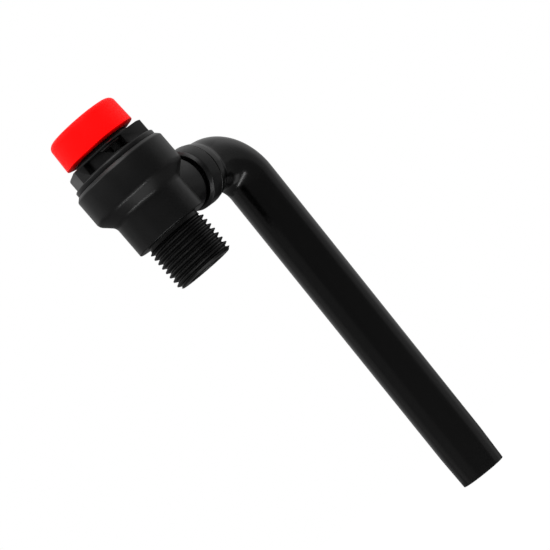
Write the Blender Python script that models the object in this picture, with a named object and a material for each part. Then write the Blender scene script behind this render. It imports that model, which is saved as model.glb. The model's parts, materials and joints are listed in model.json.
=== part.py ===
"""A diaphragm safety relief valve with a threaded inlet, a test knob and a swivelling discharge pipe.

Lengths are in metres. The origin is the centre of the inlet's end face, +Z runs up the valve to the
knob, and +X runs out along the outlet. Turning the knob clockwise, seen from above, lifts the disc.
"""

import math

import bmesh
import bpy
from mathutils import Vector

# Clearances and facets
GAP = 0.0003
FINE_GAP = 0.00015
ROUND = 36
INNER_ROUND = 28
SMALL_ROUND = 22
CUT_MARGIN = 0.001
MERGE_DISTANCE = 0.0000001
SMOOTH_ANGLE = 35.0
EDGE = 0.0003

# Inlet nipple, plain here where the G 1/2 thread is cut
THREAD_RADIUS = 0.0104
THREAD_LENGTH = 0.0150
END_CHAMFER = 0.0012
RELIEF_DEPTH = 0.0009
RELIEF_LENGTH = 0.0011
ROOT_RISE = 0.0006
ROOT_CLEARANCE = 0.00015
INLET_WALL = 0.00325
BORE_CHAMFER = 0.0005

# Body around the nozzle, and the wide top that takes the bonnet
NOZZLE_WALL = 0.00165
NOZZLE_HEIGHT = 0.0075
LIP_WIDTH = 0.0007
LIP_SLOPE = 0.0009
CHAMBER_WIDTH = 0.0025
BODY_WALL = 0.0025
FLOOR_THICKNESS = 0.0038
CONE_HEIGHT = 0.0037
CHAMBER_STEP = 0.0012
CHAMBER_STEP_DROP = 0.0015
CHAMBER_HEADROOM = 0.00245
LEDGE_WIDTH = 0.0028
UPPER_WALL = 0.00245
UPPER_ROUND = 0.00125
SHOULDER_CHAMFER = 0.0004

# Closing disc, diaphragm and the plates that clamp it
SEAT_DISC_THICKNESS = 0.0018
SEAT_DISC_INSET = 0.0004
DISC_STAND_PROUD = 0.0006
HOLDER_SKIRT = 0.0009
HOLDER_THICKNESS = 0.0023
STUD_DEPTH = 0.0015
DIAPHRAGM_THICKNESS = 0.0009
SLEEVE_THICKNESS = 0.0007
SLEEVE_SLOPE = 0.0008
CONVOLUTION_DEPTH = 0.0037
SLIP_RING_THICKNESS = 0.0008
PLATE_THICKNESS = 0.0013
PLATE_INSET = 0.0009
PLATE_RIM = 0.00175
PLATE_LIP_HEIGHT = 0.0010
PLATE_LIP_WIDTH = 0.0009

# Screw and washer under the closing disc
DISC_SCREW_RADIUS = 0.0013
DISC_SCREW_REACH = 0.0036
DISC_HEAD_RADIUS = 0.0028
DISC_HEAD_HEIGHT = 0.0012
DISC_WASHER_CLEARANCE = 0.00125
DISC_WASHER_THICKNESS = 0.0006

# Spindle
SPINDLE_RADIUS = 0.0020
STUD_WALL = 0.0007
SPINDLE_FLANGE_CLEARANCE = 0.00075
SPINDLE_FLANGE_THICKNESS = 0.0010

# Spring and what holds its upper end
WIRE_RADIUS = 0.00085
END_COIL_GAP = 0.00015
COIL_SPACE = 0.00133
DEAD_TURNS = 1
COIL_STEPS = 13
WIRE_SIDES = 6
SPRING_BORE_GAP = 0.0004
UPPER_PLATE_THICKNESS = 0.0007
ADJUSTER_THICKNESS = 0.0025
ADJUSTER_SLOT_WIDTH = 0.0014
ADJUSTER_SLOT_DEPTH = 0.0010
SPINDLE_PLAY = 0.0004

# Bonnet, its flange, hexagon and cam crown
SPIGOT_LENGTH = 0.0039
FLANGE_LIP = 0.0014
FLANGE_THICKNESS = 0.0015
POCKET_CLEARANCE = 0.0010
TOWER_WALL = 0.0014
CROWN_FLOOR_RISE = 0.0004
GUARD_RISE = 0.0018
LINTEL_HEIGHT = 0.00055
GUARD_CLEARANCE = 0.0008
GUARD_WALL = 0.00205
HEXAGON_TURN = 55.0
CAM_COUNT = 3
WINDOW_COUNT = 2
WINDOW_TURN = 221.0
WINDOW_ARC = 67.0

# Lift: the ramps rise by KNOB_LIFT over RAMP_ARC degrees of knob turn
KNOB_LIFT = 0.0024
RAMP_ARC = 36.0
RAMP_FOOT = 244.0
CREST_ARC = 31.0
LUG_ARC = 46.0
LUG_OVERHANG = 8.0
RAMP_TOE = 0.00001

# Cam ring in the knob
SLEEVE_WALL = 0.00105
CAM_FLANGE_LIP = 0.0011
CAM_FLANGE_THICKNESS = 0.0006
CAM_SLEEVE_HEIGHT = 0.0057
LUG_ROOT = 0.0003
KEY_DEPTH = 0.0008
KEY_WIDTH = 0.0030
KEY_TURN = 100.0

# Knob
KNOB_STAND_OFF = 0.0009
KNOB_HEADROOM = 0.0049
KNOB_KEY_WALL = 0.0007
KNOB_BEVEL = 0.0019
KNOB_BEVEL_HEIGHT = 0.0009
KNOB_BEVEL_BULGE = 0.0001
KNOB_DRAFT = 0.0004
KNOB_SHOULDER = 0.0017
KNOB_SHOULDER_DROP = 0.0013
KNOB_CROWN = 0.0006
KNOB_TOP_WALL = 0.0024
RECESS_LEDGE = 0.0006
RECESS_DEPTH = 0.0027
HUB_WALL = 0.0010
HUB_FLOOR = 0.0024
HUB_CLEARANCE = 0.0009

# Screw and washer that keep the knob on the spindle
KNOB_WASHER_THICKNESS = 0.0005
KNOB_HEAD_CLEARANCE = 0.0006
KNOB_HEAD_HEIGHT = 0.0012
KNOB_SCREW_RADIUS = 0.0011
KNOB_SCREW_LENGTH = 0.0065

# Outlet boss and the spigot that the pipe turns on
OUTLET_BORE = 0.0050
GROOVE_WALL = 0.0011
O_RING_RADIUS = 0.00065
GROOVE_LAND = 0.0010
SPIGOT_LAND = 0.00145
SPIGOT_TIP = 0.0009
BOSS_WALL = 0.0018
BOSS_STEP = 0.0004
BOSS_STAND_OUT = 0.0001
CLIP_WIDTH = 0.0010
CLIP_DEPTH = 0.0008
CLIP_OPENING = 60.0

# Collar that holds the pipe on its spigot
COLLAR_STANDOFF = 0.0020
COLLAR_WALL = 0.00075
COLLAR_LIP = 0.0011
COLLAR_RIM = 0.00125
COLLAR_THROAT_PLAY = 0.0009
COLLAR_CHAMFER = 0.0010
COLLAR_CHAMFER_LENGTH = 0.0009

# Discharge pipe: flared socket, tight elbow and long straight leg
SOCKET_WALL = 0.0016
NOSE_LENGTH = 0.00265
NECK_REACH = 0.0007
NECK_SWELL = 0.00055
PIPE_RADIUS = 0.00845
PIPE_DRAFT = 0.00025
TIP_DRAFT = 0.00035
TIP_LENGTH = 0.0120
PIPE_WALL = 0.0020
PIPE_END_WALL = 0.00155
ELBOW_LEAD = 0.0018
ELBOW_THROAT = 0.00395
PIPE_DROP = 0.1312
PIPE_SWIVEL = 2.8
ELBOW_STEPS = 8
PIPE_SIDES = 28

# Heights, worked out up the valve from the inlet's end face
SHOULDER_Z = THREAD_LENGTH + RELIEF_LENGTH
FLOOR_Z = SHOULDER_Z + FLOOR_THICKNESS
SEAT_Z = FLOOR_Z + NOZZLE_HEIGHT
DISC_Z = SEAT_Z + GAP
HOLDER_Z = DISC_Z + SEAT_DISC_THICKNESS + GAP
HOLDER_TOP = HOLDER_Z + HOLDER_THICKNESS
SKIRT_Z = DISC_Z + DISC_STAND_PROUD
DIAPHRAGM_Z = HOLDER_TOP + GAP
CHAMBER_STEP_Z = DIAPHRAGM_Z - CHAMBER_HEADROOM
UPPER_Z = CHAMBER_STEP_Z + CHAMBER_STEP_DROP
CONE_Z = UPPER_Z - CONE_HEIGHT
RIM_Z = DIAPHRAGM_Z + CONVOLUTION_DEPTH
LEDGE_Z = RIM_Z - GAP
RIM_TOP = RIM_Z + DIAPHRAGM_THICKNESS
PLATE_Z = DIAPHRAGM_Z + DIAPHRAGM_THICKNESS + GAP
PLATE_TOP = PLATE_Z + PLATE_THICKNESS
SPRING_Z = PLATE_TOP + GAP
SLIP_RING_Z = RIM_TOP + GAP
SPIGOT_Z = SLIP_RING_Z + SLIP_RING_THICKNESS + GAP
BODY_TOP = SPIGOT_Z + SPIGOT_LENGTH
FLANGE_Z = BODY_TOP + GAP
FLANGE_TOP = FLANGE_Z + FLANGE_THICKNESS
CROWN_FLOOR = FLANGE_TOP + CROWN_FLOOR_RISE
CREST_Z = CROWN_FLOOR + KNOB_LIFT
GUARD_TOP = CREST_Z + GUARD_RISE
WINDOW_TOP = GUARD_TOP - LINTEL_HEIGHT
POCKET_TOP = max(SPIGOT_Z, PLATE_TOP + PLATE_LIP_HEIGHT + KNOB_LIFT) + POCKET_CLEARANCE
CAM_FLANGE_Z = CREST_Z + GAP
CAM_FLANGE_TOP = CAM_FLANGE_Z + CAM_FLANGE_THICKNESS
CAM_TOP = CAM_FLANGE_TOP + GAP + CAM_SLEEVE_HEIGHT
KNOB_Z = max(CAM_FLANGE_TOP, GUARD_TOP) + KNOB_STAND_OFF
KNOB_CEILING = CAM_TOP + KNOB_HEADROOM
KNOB_TOP = KNOB_CEILING + KNOB_TOP_WALL
RECESS_Z = KNOB_TOP - RECESS_DEPTH
HUB_Z = RECESS_Z - HUB_FLOOR
TOWER_TOP = HUB_Z - HUB_CLEARANCE
ADJUSTER_Z = TOWER_TOP - ADJUSTER_THICKNESS
UPPER_PLATE_Z = ADJUSTER_Z - GAP - UPPER_PLATE_THICKNESS
SPRING_TOP = UPPER_PLATE_Z - GAP
SPINDLE_TOP = RECESS_Z + FINE_GAP
KNOB_WASHER_Z = SPINDLE_TOP + FINE_GAP
KNOB_HEAD_Z = KNOB_WASHER_Z + KNOB_WASHER_THICKNESS + FINE_GAP
STUD_Z = HOLDER_TOP - STUD_DEPTH
DISC_WASHER_Z = DISC_Z - GAP - DISC_WASHER_THICKNESS
DISC_HEAD_Z = DISC_WASHER_Z - GAP - DISC_HEAD_HEIGHT
DISC_SCREW_TOP = STUD_Z + DISC_SCREW_REACH

# Radii, worked out from the inlet's thread outward, and then from the spring to the knob
RELIEF_RADIUS = THREAD_RADIUS - RELIEF_DEPTH
INLET_BORE = RELIEF_RADIUS - INLET_WALL
NOZZLE_RADIUS = INLET_BORE + NOZZLE_WALL
CHAMBER_RADIUS = NOZZLE_RADIUS + CHAMBER_WIDTH
LOWER_RADIUS = CHAMBER_RADIUS + BODY_WALL
UPPER_CHAMBER_RADIUS = CHAMBER_RADIUS + CHAMBER_STEP
BONNET_BORE = UPPER_CHAMBER_RADIUS + LEDGE_WIDTH
UPPER_RADIUS = BONNET_BORE + UPPER_WALL
BONNET_RADIUS = BONNET_BORE - GAP
FLANGE_RADIUS = BONNET_RADIUS + FLANGE_LIP
SEAT_DISC_RADIUS = NOZZLE_RADIUS - SEAT_DISC_INSET
HOLDER_RADIUS = SEAT_DISC_RADIUS + GAP + HOLDER_SKIRT
SLEEVE_TOP_RADIUS = UPPER_CHAMBER_RADIUS - GAP
SLEEVE_FOOT_RADIUS = SLEEVE_TOP_RADIUS - SLEEVE_SLOPE
PLATE_RADIUS = SLEEVE_FOOT_RADIUS - SLEEVE_THICKNESS - PLATE_INSET + GAP
SPRING_OUTER = PLATE_RADIUS - PLATE_RIM - PLATE_LIP_WIDTH - GAP
SPRING_RADIUS = SPRING_OUTER - WIRE_RADIUS
SPINDLE_FLANGE_RADIUS = SPRING_RADIUS - WIRE_RADIUS - SPINDLE_FLANGE_CLEARANCE
STUD_RADIUS = DISC_SCREW_RADIUS + GAP + STUD_WALL
DISC_WASHER_RADIUS = INLET_BORE - DISC_WASHER_CLEARANCE
SPRING_BORE = SPRING_OUTER + SPRING_BORE_GAP
TOWER_RADIUS = SPRING_BORE + TOWER_WALL
POCKET_RADIUS = PLATE_RADIUS + POCKET_CLEARANCE
CAM_INNER = TOWER_RADIUS + GAP
SLEEVE_OUTER = CAM_INNER + SLEEVE_WALL
CAM_RADIUS = SLEEVE_OUTER + CAM_FLANGE_LIP
GUARD_INNER = CAM_RADIUS + GUARD_CLEARANCE
HEXAGON_RADIUS = (GUARD_INNER + GUARD_WALL) / math.cos(math.pi / 6)
KNOB_BORE = SLEEVE_OUTER + GAP
KNOB_FOOT_RADIUS = SLEEVE_OUTER + KEY_DEPTH + GAP + KNOB_KEY_WALL
KNOB_RADIUS = KNOB_FOOT_RADIUS + KNOB_BEVEL
RECESS_RADIUS = SPINDLE_RADIUS + GAP + RECESS_LEDGE
KNOB_HEAD_RADIUS = RECESS_RADIUS - KNOB_HEAD_CLEARANCE
HUB_RADIUS = RECESS_RADIUS + HUB_WALL

# Radii round the outlet's axis, worked out from its bore outward
GROOVE_RADIUS = OUTLET_BORE + GROOVE_WALL
GROOVE_HALF_WIDTH = O_RING_RADIUS + FINE_GAP
O_RING_MIDDLE = GROOVE_RADIUS + FINE_GAP + O_RING_RADIUS
SOCKET_RADIUS = O_RING_MIDDLE + O_RING_RADIUS + FINE_GAP
SPIGOT_RADIUS = SOCKET_RADIUS - GAP
CLIP_GROOVE_RADIUS = SPIGOT_RADIUS - CLIP_DEPTH
BOSS_RADIUS = SPIGOT_RADIUS + BOSS_WALL
PIPE_NOSE_RADIUS = SOCKET_RADIUS + SOCKET_WALL
COLLAR_INNER = PIPE_NOSE_RADIUS + GAP
COLLAR_RADIUS = COLLAR_INNER + COLLAR_WALL
COLLAR_MOUTH = COLLAR_RADIUS - COLLAR_RIM
COLLAR_THROAT = SPIGOT_RADIUS + COLLAR_THROAT_PLAY
NECK_RADIUS = PIPE_RADIUS + NECK_SWELL
TIP_TOP_RADIUS = PIPE_RADIUS - PIPE_DRAFT
TIP_RADIUS = TIP_TOP_RADIUS - TIP_DRAFT
ELBOW_RADIUS = PIPE_RADIUS + ELBOW_THROAT
OUTLET_Z = SHOULDER_Z + BOSS_STEP + BOSS_RADIUS

# Distances along the outlet, worked out from the side of the body
BOSS_REACH = UPPER_RADIUS + BOSS_STAND_OUT
COLLAR_X = BOSS_REACH + COLLAR_STANDOFF
CLIP_X = COLLAR_X + COLLAR_LIP + GAP
CLIP_END = CLIP_X + CLIP_WIDTH
PIPE_NOSE_X = CLIP_END + GAP
COLLAR_END = PIPE_NOSE_X + NOSE_LENGTH
PIPE_SHOULDER_X = COLLAR_END + GAP
O_RING_PITCH = 2 * GROOVE_HALF_WIDTH + GROOVE_LAND
O_RING_X = PIPE_NOSE_X + SPIGOT_LAND + GROOVE_HALF_WIDTH
SPIGOT_END = O_RING_X + O_RING_PITCH + GROOVE_HALF_WIDTH + SPIGOT_TIP
SOCKET_END = SPIGOT_END + GAP
NECK_X = SOCKET_END + NECK_REACH
ELBOW_X = NECK_X + ELBOW_LEAD
PIPE_AXIS_X = ELBOW_X + ELBOW_RADIUS

# Colour, roughness and metallic value of each material
MATERIALS = {
    "black_nylon": ((0.020, 0.020, 0.021), 0.48, 0.0),
    "black_acetal": ((0.014, 0.014, 0.015), 0.35, 0.0),
    "black_polypropylene": ((0.013, 0.013, 0.014), 0.28, 0.0),
    "red_plastic": ((0.80, 0.008, 0.008), 0.32, 0.0),
    "rubber": ((0.012, 0.012, 0.012), 0.75, 0.0),
    "brass": ((0.72, 0.52, 0.22), 0.30, 1.0),
    "steel": ((0.58, 0.58, 0.60), 0.28, 1.0),
}


def clear_scene():
    for obj in list(bpy.data.objects):
        bpy.data.objects.remove(obj, do_unlink=True)


def material(name):
    found = bpy.data.materials.get(name)
    if found:
        return found
    colour, roughness, metallic = MATERIALS[name]
    made = bpy.data.materials.new(name)
    made.use_nodes = True
    shader = made.node_tree.nodes["Principled BSDF"]
    shader.inputs["Base Color"].default_value = (*colour, 1.0)
    shader.inputs["Roughness"].default_value = roughness
    shader.inputs["Metallic"].default_value = metallic
    return made


def object_from(name, mesh, material_name):
    """An object of a closed bmesh, with its faces turned outward and its round faces shaded smooth."""
    bmesh.ops.recalc_face_normals(mesh, faces=mesh.faces)
    data = bpy.data.meshes.new(name)
    mesh.to_mesh(data)
    mesh.free()
    data.shade_smooth()
    data.set_sharp_from_angle(angle=math.radians(SMOOTH_ANGLE))
    data.materials.append(material(material_name))
    obj = bpy.data.objects.new(name, data)
    bpy.context.scene.collection.objects.link(obj)
    return obj


def axis_empty(name, location, rotation=(0.0, 0.0, 0.0)):
    empty = bpy.data.objects.new(name, None)
    empty.location = location
    empty.rotation_euler = rotation
    bpy.context.scene.collection.objects.link(empty)
    return empty


def along_outlet(obj):
    """Turns a shape that was made up the Z axis to lie along the outlet's axis."""
    obj.rotation_euler = (0.0, math.pi / 2, 0.0)
    obj.location = (0.0, 0.0, OUTLET_Z)
    return obj


def turned(name, profile, material_name, segments=ROUND):
    """A shape turned about Z from (radius, height) points, which end on the axis or make a loop."""
    mesh = bmesh.new()
    points = [mesh.verts.new((radius, 0.0, height)) for radius, height in profile]
    pairs = list(zip(points, points[1:]))
    if min(radius for radius, height in profile) > 0.0:
        pairs.append((points[-1], points[0]))
    edges = [mesh.edges.new(pair) for pair in pairs]
    bmesh.ops.spin(
        mesh,
        geom=points + edges,
        cent=(0.0, 0.0, 0.0),
        axis=(0.0, 0.0, 1.0),
        angle=math.tau,
        steps=segments,
        use_merge=True,
    )
    bmesh.ops.remove_doubles(mesh, verts=mesh.verts, dist=MERGE_DISTANCE)
    return object_from(name, mesh, material_name)


def lofted(name, rings, material_name, closed=False):
    """A shape through rings of points, each with as many points, capped at its ends unless it is closed."""
    mesh = bmesh.new()
    loops = [[mesh.verts.new(point) for point in ring] for ring in rings]
    count = len(rings[0])
    followers = loops[1:] + loops[:1] if closed else loops[1:]
    for loop, following in zip(loops, followers):
        for side in range(count):
            after = (side + 1) % count
            mesh.faces.new((loop[side], loop[after], following[after], following[side]))
    if not closed:
        mesh.faces.new(loops[0])
        mesh.faces.new(loops[-1])
    return object_from(name, mesh, material_name)


def sector(name, inner, outer, angles, floor, top, material_name):
    """A block between two radii along some angles in degrees; floor and top give its heights there."""
    rings = []
    for angle in angles:
        outward = Vector((math.cos(math.radians(angle)), math.sin(math.radians(angle)), 0.0))
        low = Vector((0.0, 0.0, floor(angle)))
        high = Vector((0.0, 0.0, top(angle)))
        inside = outward * inner
        outside = outward * outer
        rings.append([inside + low, outside + low, outside + high, inside + high])
    return lofted(name, rings, material_name)


def box(name, centre, size, turn, material_name):
    """A box whose centre and size are given along a direction turned about Z by some degrees."""
    mesh = bmesh.new()
    bmesh.ops.create_cube(mesh, size=1.0)
    bmesh.ops.scale(mesh, vec=size, verts=mesh.verts)
    bmesh.ops.translate(mesh, vec=centre, verts=mesh.verts)
    obj = object_from(name, mesh, material_name)
    obj.rotation_euler = (0.0, 0.0, math.radians(turn))
    return obj


def prism(name, radius, sides, turn, low, high, material_name):
    """A prism of so many sides about Z, with its first corner turned by some degrees."""
    rings = []
    for height in (low, high):
        corners = [math.radians(turn) + math.tau * side / sides for side in range(sides)]
        rings.append([(radius * math.cos(a), radius * math.sin(a), height) for a in corners])
    return lofted(name, rings, material_name)


def combine(target, tool, operation):
    """Joins or cuts with a helper, which stays in the file as a wire and isn't rendered."""
    tool.hide_render = True
    tool.display_type = "WIRE"
    modifier = target.modifiers.new(tool.name, "BOOLEAN")
    modifier.operation = operation
    modifier.object = tool
    modifier.solver = "EXACT"


def arc_angles(start, end, steps):
    return [start + (end - start) * step / steps for step in range(steps + 1)]


def eased(start, corner, end, steps=4):
    """Points of a round stretch from start to end, tangent to the lines through the corner."""
    points = []
    for step in range(steps + 1):
        t = step / steps
        weights = ((1 - t) ** 2, 2 * t * (1 - t), t**2)
        near = list(zip(weights, (start, corner, end)))
        points.append(tuple(sum(weight * point[axis] for weight, point in near) for axis in (0, 1)))
    return points


def even_turns(first, count):
    return [first + 360.0 * copy / count for copy in range(count)]


def cam_turns(first):
    return even_turns(first, CAM_COUNT)


def ramp_height(angle, foot):
    """Height of a ramp above the crown's floor: it rises clockwise from its foot to a level crest."""
    climbed = min(max(foot - angle, 0.0), RAMP_ARC)
    return KNOB_LIFT * climbed / RAMP_ARC


def make_body():
    outside = [
        (0.0, 0.0),
        (THREAD_RADIUS - END_CHAMFER, 0.0),
        (THREAD_RADIUS, END_CHAMFER),
        (THREAD_RADIUS, THREAD_LENGTH),
        (RELIEF_RADIUS, THREAD_LENGTH),
        (RELIEF_RADIUS, SHOULDER_Z - ROOT_RISE),
        (THREAD_RADIUS + ROOT_CLEARANCE, SHOULDER_Z),
        (LOWER_RADIUS - SHOULDER_CHAMFER, SHOULDER_Z),
        (LOWER_RADIUS, SHOULDER_Z + SHOULDER_CHAMFER),
        (LOWER_RADIUS, CONE_Z),
        (UPPER_RADIUS, UPPER_Z),
        *eased(
            (UPPER_RADIUS, BODY_TOP - UPPER_ROUND),
            (UPPER_RADIUS, BODY_TOP),
            (UPPER_RADIUS - UPPER_ROUND, BODY_TOP),
        ),
        (0.0, BODY_TOP),
    ]
    inside = [
        (0.0, -CUT_MARGIN),
        (INLET_BORE + BORE_CHAMFER + CUT_MARGIN, -CUT_MARGIN),
        (INLET_BORE, BORE_CHAMFER),
        (INLET_BORE, SEAT_Z),
        (INLET_BORE + LIP_WIDTH, SEAT_Z),
        (NOZZLE_RADIUS, SEAT_Z - LIP_SLOPE),
        (NOZZLE_RADIUS, FLOOR_Z),
        (CHAMBER_RADIUS, FLOOR_Z),
        (CHAMBER_RADIUS, CHAMBER_STEP_Z),
        (UPPER_CHAMBER_RADIUS, CHAMBER_STEP_Z),
        (UPPER_CHAMBER_RADIUS, LEDGE_Z),
        (BONNET_BORE, LEDGE_Z),
        (BONNET_BORE, BODY_TOP + CUT_MARGIN),
        (0.0, BODY_TOP + CUT_MARGIN),
    ]
    body = turned("valve_body", outside, "black_nylon")
    boss = turned("outlet_boss", boss_profile(), "black_nylon", INNER_ROUND)
    combine(body, along_outlet(boss), "UNION")
    combine(body, turned("body_cavity", inside, "black_nylon", INNER_ROUND), "DIFFERENCE")
    way_out = [
        (0.0, (NOZZLE_RADIUS + CHAMBER_RADIUS) / 2),
        (OUTLET_BORE, (NOZZLE_RADIUS + CHAMBER_RADIUS) / 2),
        (OUTLET_BORE, SPIGOT_END + CUT_MARGIN),
        (0.0, SPIGOT_END + CUT_MARGIN),
    ]
    outlet_way = turned("outlet_way", way_out, "black_nylon", SMALL_ROUND)
    combine(body, along_outlet(outlet_way), "DIFFERENCE")
    return body


def boss_profile():
    """Outline of the outlet: the boss, then the spigot with grooves for the clip and the O-rings."""
    profile = [
        (0.0, 0.0),
        (BOSS_RADIUS, 0.0),
        (BOSS_RADIUS, BOSS_REACH - EDGE),
        (BOSS_RADIUS - EDGE, BOSS_REACH),
        (SPIGOT_RADIUS, BOSS_REACH),
    ]
    grooves = [(CLIP_X - FINE_GAP, CLIP_END + FINE_GAP, CLIP_GROOVE_RADIUS)]
    for middle in (O_RING_X, O_RING_X + O_RING_PITCH):
        grooves.append((middle - GROOVE_HALF_WIDTH, middle + GROOVE_HALF_WIDTH, GROOVE_RADIUS))
    for start, end, floor in grooves:
        profile += [(SPIGOT_RADIUS, start), (floor, start), (floor, end), (SPIGOT_RADIUS, end)]
    profile += [(SPIGOT_RADIUS, SPIGOT_END - EDGE), (SPIGOT_RADIUS - EDGE, SPIGOT_END), (0.0, SPIGOT_END)]
    return profile


def make_bonnet():
    outside = [
        (0.0, SPIGOT_Z),
        (BONNET_RADIUS - EDGE, SPIGOT_Z),
        (BONNET_RADIUS, SPIGOT_Z + EDGE),
        (BONNET_RADIUS, FLANGE_Z),
        (FLANGE_RADIUS, FLANGE_Z),
        (FLANGE_RADIUS, FLANGE_TOP - EDGE),
        (FLANGE_RADIUS - EDGE, FLANGE_TOP),
        (TOWER_RADIUS, FLANGE_TOP),
        (TOWER_RADIUS, TOWER_TOP - EDGE),
        (TOWER_RADIUS - EDGE, TOWER_TOP),
        (0.0, TOWER_TOP),
    ]
    trench = [
        (TOWER_RADIUS, CROWN_FLOOR),
        (GUARD_INNER, CROWN_FLOOR),
        (GUARD_INNER, GUARD_TOP + CUT_MARGIN),
        (TOWER_RADIUS, GUARD_TOP + CUT_MARGIN),
    ]
    inside = [
        (0.0, SPIGOT_Z - CUT_MARGIN),
        (POCKET_RADIUS, SPIGOT_Z - CUT_MARGIN),
        (POCKET_RADIUS, POCKET_TOP),
        (SPRING_BORE, POCKET_TOP),
        (SPRING_BORE, TOWER_TOP + CUT_MARGIN),
        (0.0, TOWER_TOP + CUT_MARGIN),
    ]
    bonnet = turned("bonnet", outside, "black_nylon")
    hexagon = prism(
        "hexagon", HEXAGON_RADIUS, 6, HEXAGON_TURN, FLANGE_TOP - CUT_MARGIN, GUARD_TOP, "black_nylon"
    )
    combine(bonnet, hexagon, "UNION")
    combine(bonnet, turned("crown_trench", trench, "black_nylon"), "DIFFERENCE")
    for number, turn in enumerate(even_turns(WINDOW_TURN, WINDOW_COUNT)):
        angles = arc_angles(turn - WINDOW_ARC / 2, turn + WINDOW_ARC / 2, 8)
        window = sector(
            f"window_{number}",
            GUARD_INNER - CUT_MARGIN / 2,
            HEXAGON_RADIUS + CUT_MARGIN,
            angles,
            lambda angle: CROWN_FLOOR,
            lambda angle: WINDOW_TOP,
            "black_nylon",
        )
        combine(bonnet, window, "DIFFERENCE")
    make_crown_ramps(bonnet)
    combine(bonnet, turned("bonnet_cavity", inside, "black_nylon", INNER_ROUND), "DIFFERENCE")
    return bonnet


def make_crown_ramps(bonnet):
    """The three cam ramps on the floor between the bonnet's tower and its hexagonal guard."""
    for number, foot in enumerate(cam_turns(RAMP_FOOT)):
        crest_start = foot - RAMP_ARC - CREST_ARC
        angles = arc_angles(crest_start, foot - RAMP_ARC, 8) + arc_angles(foot - RAMP_ARC, foot, 9)[1:]
        ramp = sector(
            f"crown_ramp_{number}",
            TOWER_RADIUS - TOWER_WALL / 3,
            GUARD_INNER + EDGE / 2,
            angles,
            lambda angle: CROWN_FLOOR - EDGE,
            lambda angle, foot=foot: CROWN_FLOOR + RAMP_TOE + ramp_height(angle, foot),
            "black_nylon",
        )
        combine(bonnet, ramp, "UNION")


def make_sealing_stack():
    """The rubber diaphragm, clamped at its rim, and the slip ring that lets the bonnet turn on it."""
    web = SLEEVE_THICKNESS
    diaphragm = [
        (STUD_RADIUS + GAP, DIAPHRAGM_Z),
        (SLEEVE_FOOT_RADIUS - EDGE, DIAPHRAGM_Z),
        (SLEEVE_FOOT_RADIUS, DIAPHRAGM_Z + EDGE),
        (SLEEVE_TOP_RADIUS, RIM_Z - EDGE),
        (SLEEVE_TOP_RADIUS + EDGE, RIM_Z),
        (BONNET_BORE - GAP, RIM_Z),
        (BONNET_BORE - GAP, RIM_TOP),
        (SLEEVE_TOP_RADIUS - web, RIM_TOP),
        (SLEEVE_TOP_RADIUS - web - EDGE, RIM_Z),
        (SLEEVE_FOOT_RADIUS - web, DIAPHRAGM_Z + DIAPHRAGM_THICKNESS),
        (STUD_RADIUS + GAP, DIAPHRAGM_Z + DIAPHRAGM_THICKNESS),
    ]
    turned("diaphragm", diaphragm, "rubber", INNER_ROUND)
    slip_ring = [
        (POCKET_RADIUS, SLIP_RING_Z),
        (BONNET_BORE - GAP, SLIP_RING_Z),
        (BONNET_BORE - GAP, SLIP_RING_Z + SLIP_RING_THICKNESS),
        (POCKET_RADIUS, SLIP_RING_Z + SLIP_RING_THICKNESS),
    ]
    turned("slip_ring", slip_ring, "black_acetal", SMALL_ROUND)


def make_spring():
    """A coil with a dead turn at each end, and as many active half turns as the height takes."""
    dead_pitch = 2 * WIRE_RADIUS + END_COIL_GAP
    low = SPRING_Z + WIRE_RADIUS
    active_height = SPRING_TOP - WIRE_RADIUS - low - 2 * DEAD_TURNS * dead_pitch
    active_turns = max(1, round(2 * active_height / (2 * WIRE_RADIUS + COIL_SPACE))) / 2
    active_pitch = active_height / active_turns
    turns = active_turns + 2 * DEAD_TURNS
    steps = round(turns * COIL_STEPS)
    sides = [math.tau * side / WIRE_SIDES for side in range(WIRE_SIDES)]
    upward = Vector((0.0, 0.0, 1.0))
    rings = []
    for step in range(steps + 1):
        turn = turns * step / steps
        in_active = min(max(turn - DEAD_TURNS, 0.0), active_turns)
        height = low + dead_pitch * (turn - in_active) + active_pitch * in_active
        outward = Vector((math.cos(math.tau * turn), math.sin(math.tau * turn), 0.0))
        centre = outward * SPRING_RADIUS + upward * height
        section = [outward * math.cos(a) + upward * math.sin(a) for a in sides]
        rings.append([centre + WIRE_RADIUS * direction for direction in section])
    lofted("spring", rings, "steel")


def make_spring_seats():
    upper_plate = [
        (SPINDLE_RADIUS + SPINDLE_PLAY, UPPER_PLATE_Z),
        (SPRING_BORE - GAP, UPPER_PLATE_Z),
        (SPRING_BORE - GAP, UPPER_PLATE_Z + UPPER_PLATE_THICKNESS),
        (SPINDLE_RADIUS + SPINDLE_PLAY, UPPER_PLATE_Z + UPPER_PLATE_THICKNESS),
    ]
    turned("upper_spring_plate", upper_plate, "steel", SMALL_ROUND)
    ring = [
        (SPINDLE_RADIUS + SPINDLE_PLAY, ADJUSTER_Z),
        (SPRING_BORE - GAP, ADJUSTER_Z),
        (SPRING_BORE - GAP, TOWER_TOP - EDGE),
        (SPRING_BORE - GAP - EDGE, TOWER_TOP),
        (SPINDLE_RADIUS + SPINDLE_PLAY, TOWER_TOP),
    ]
    adjuster = turned("spring_adjuster", ring, "brass", SMALL_ROUND)
    slot = box(
        "adjuster_slot",
        (0.0, 0.0, TOWER_TOP),
        (2 * SPRING_BORE + CUT_MARGIN, ADJUSTER_SLOT_WIDTH, 2 * ADJUSTER_SLOT_DEPTH),
        0.0,
        "brass",
    )
    combine(adjuster, slot, "DIFFERENCE")


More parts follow.
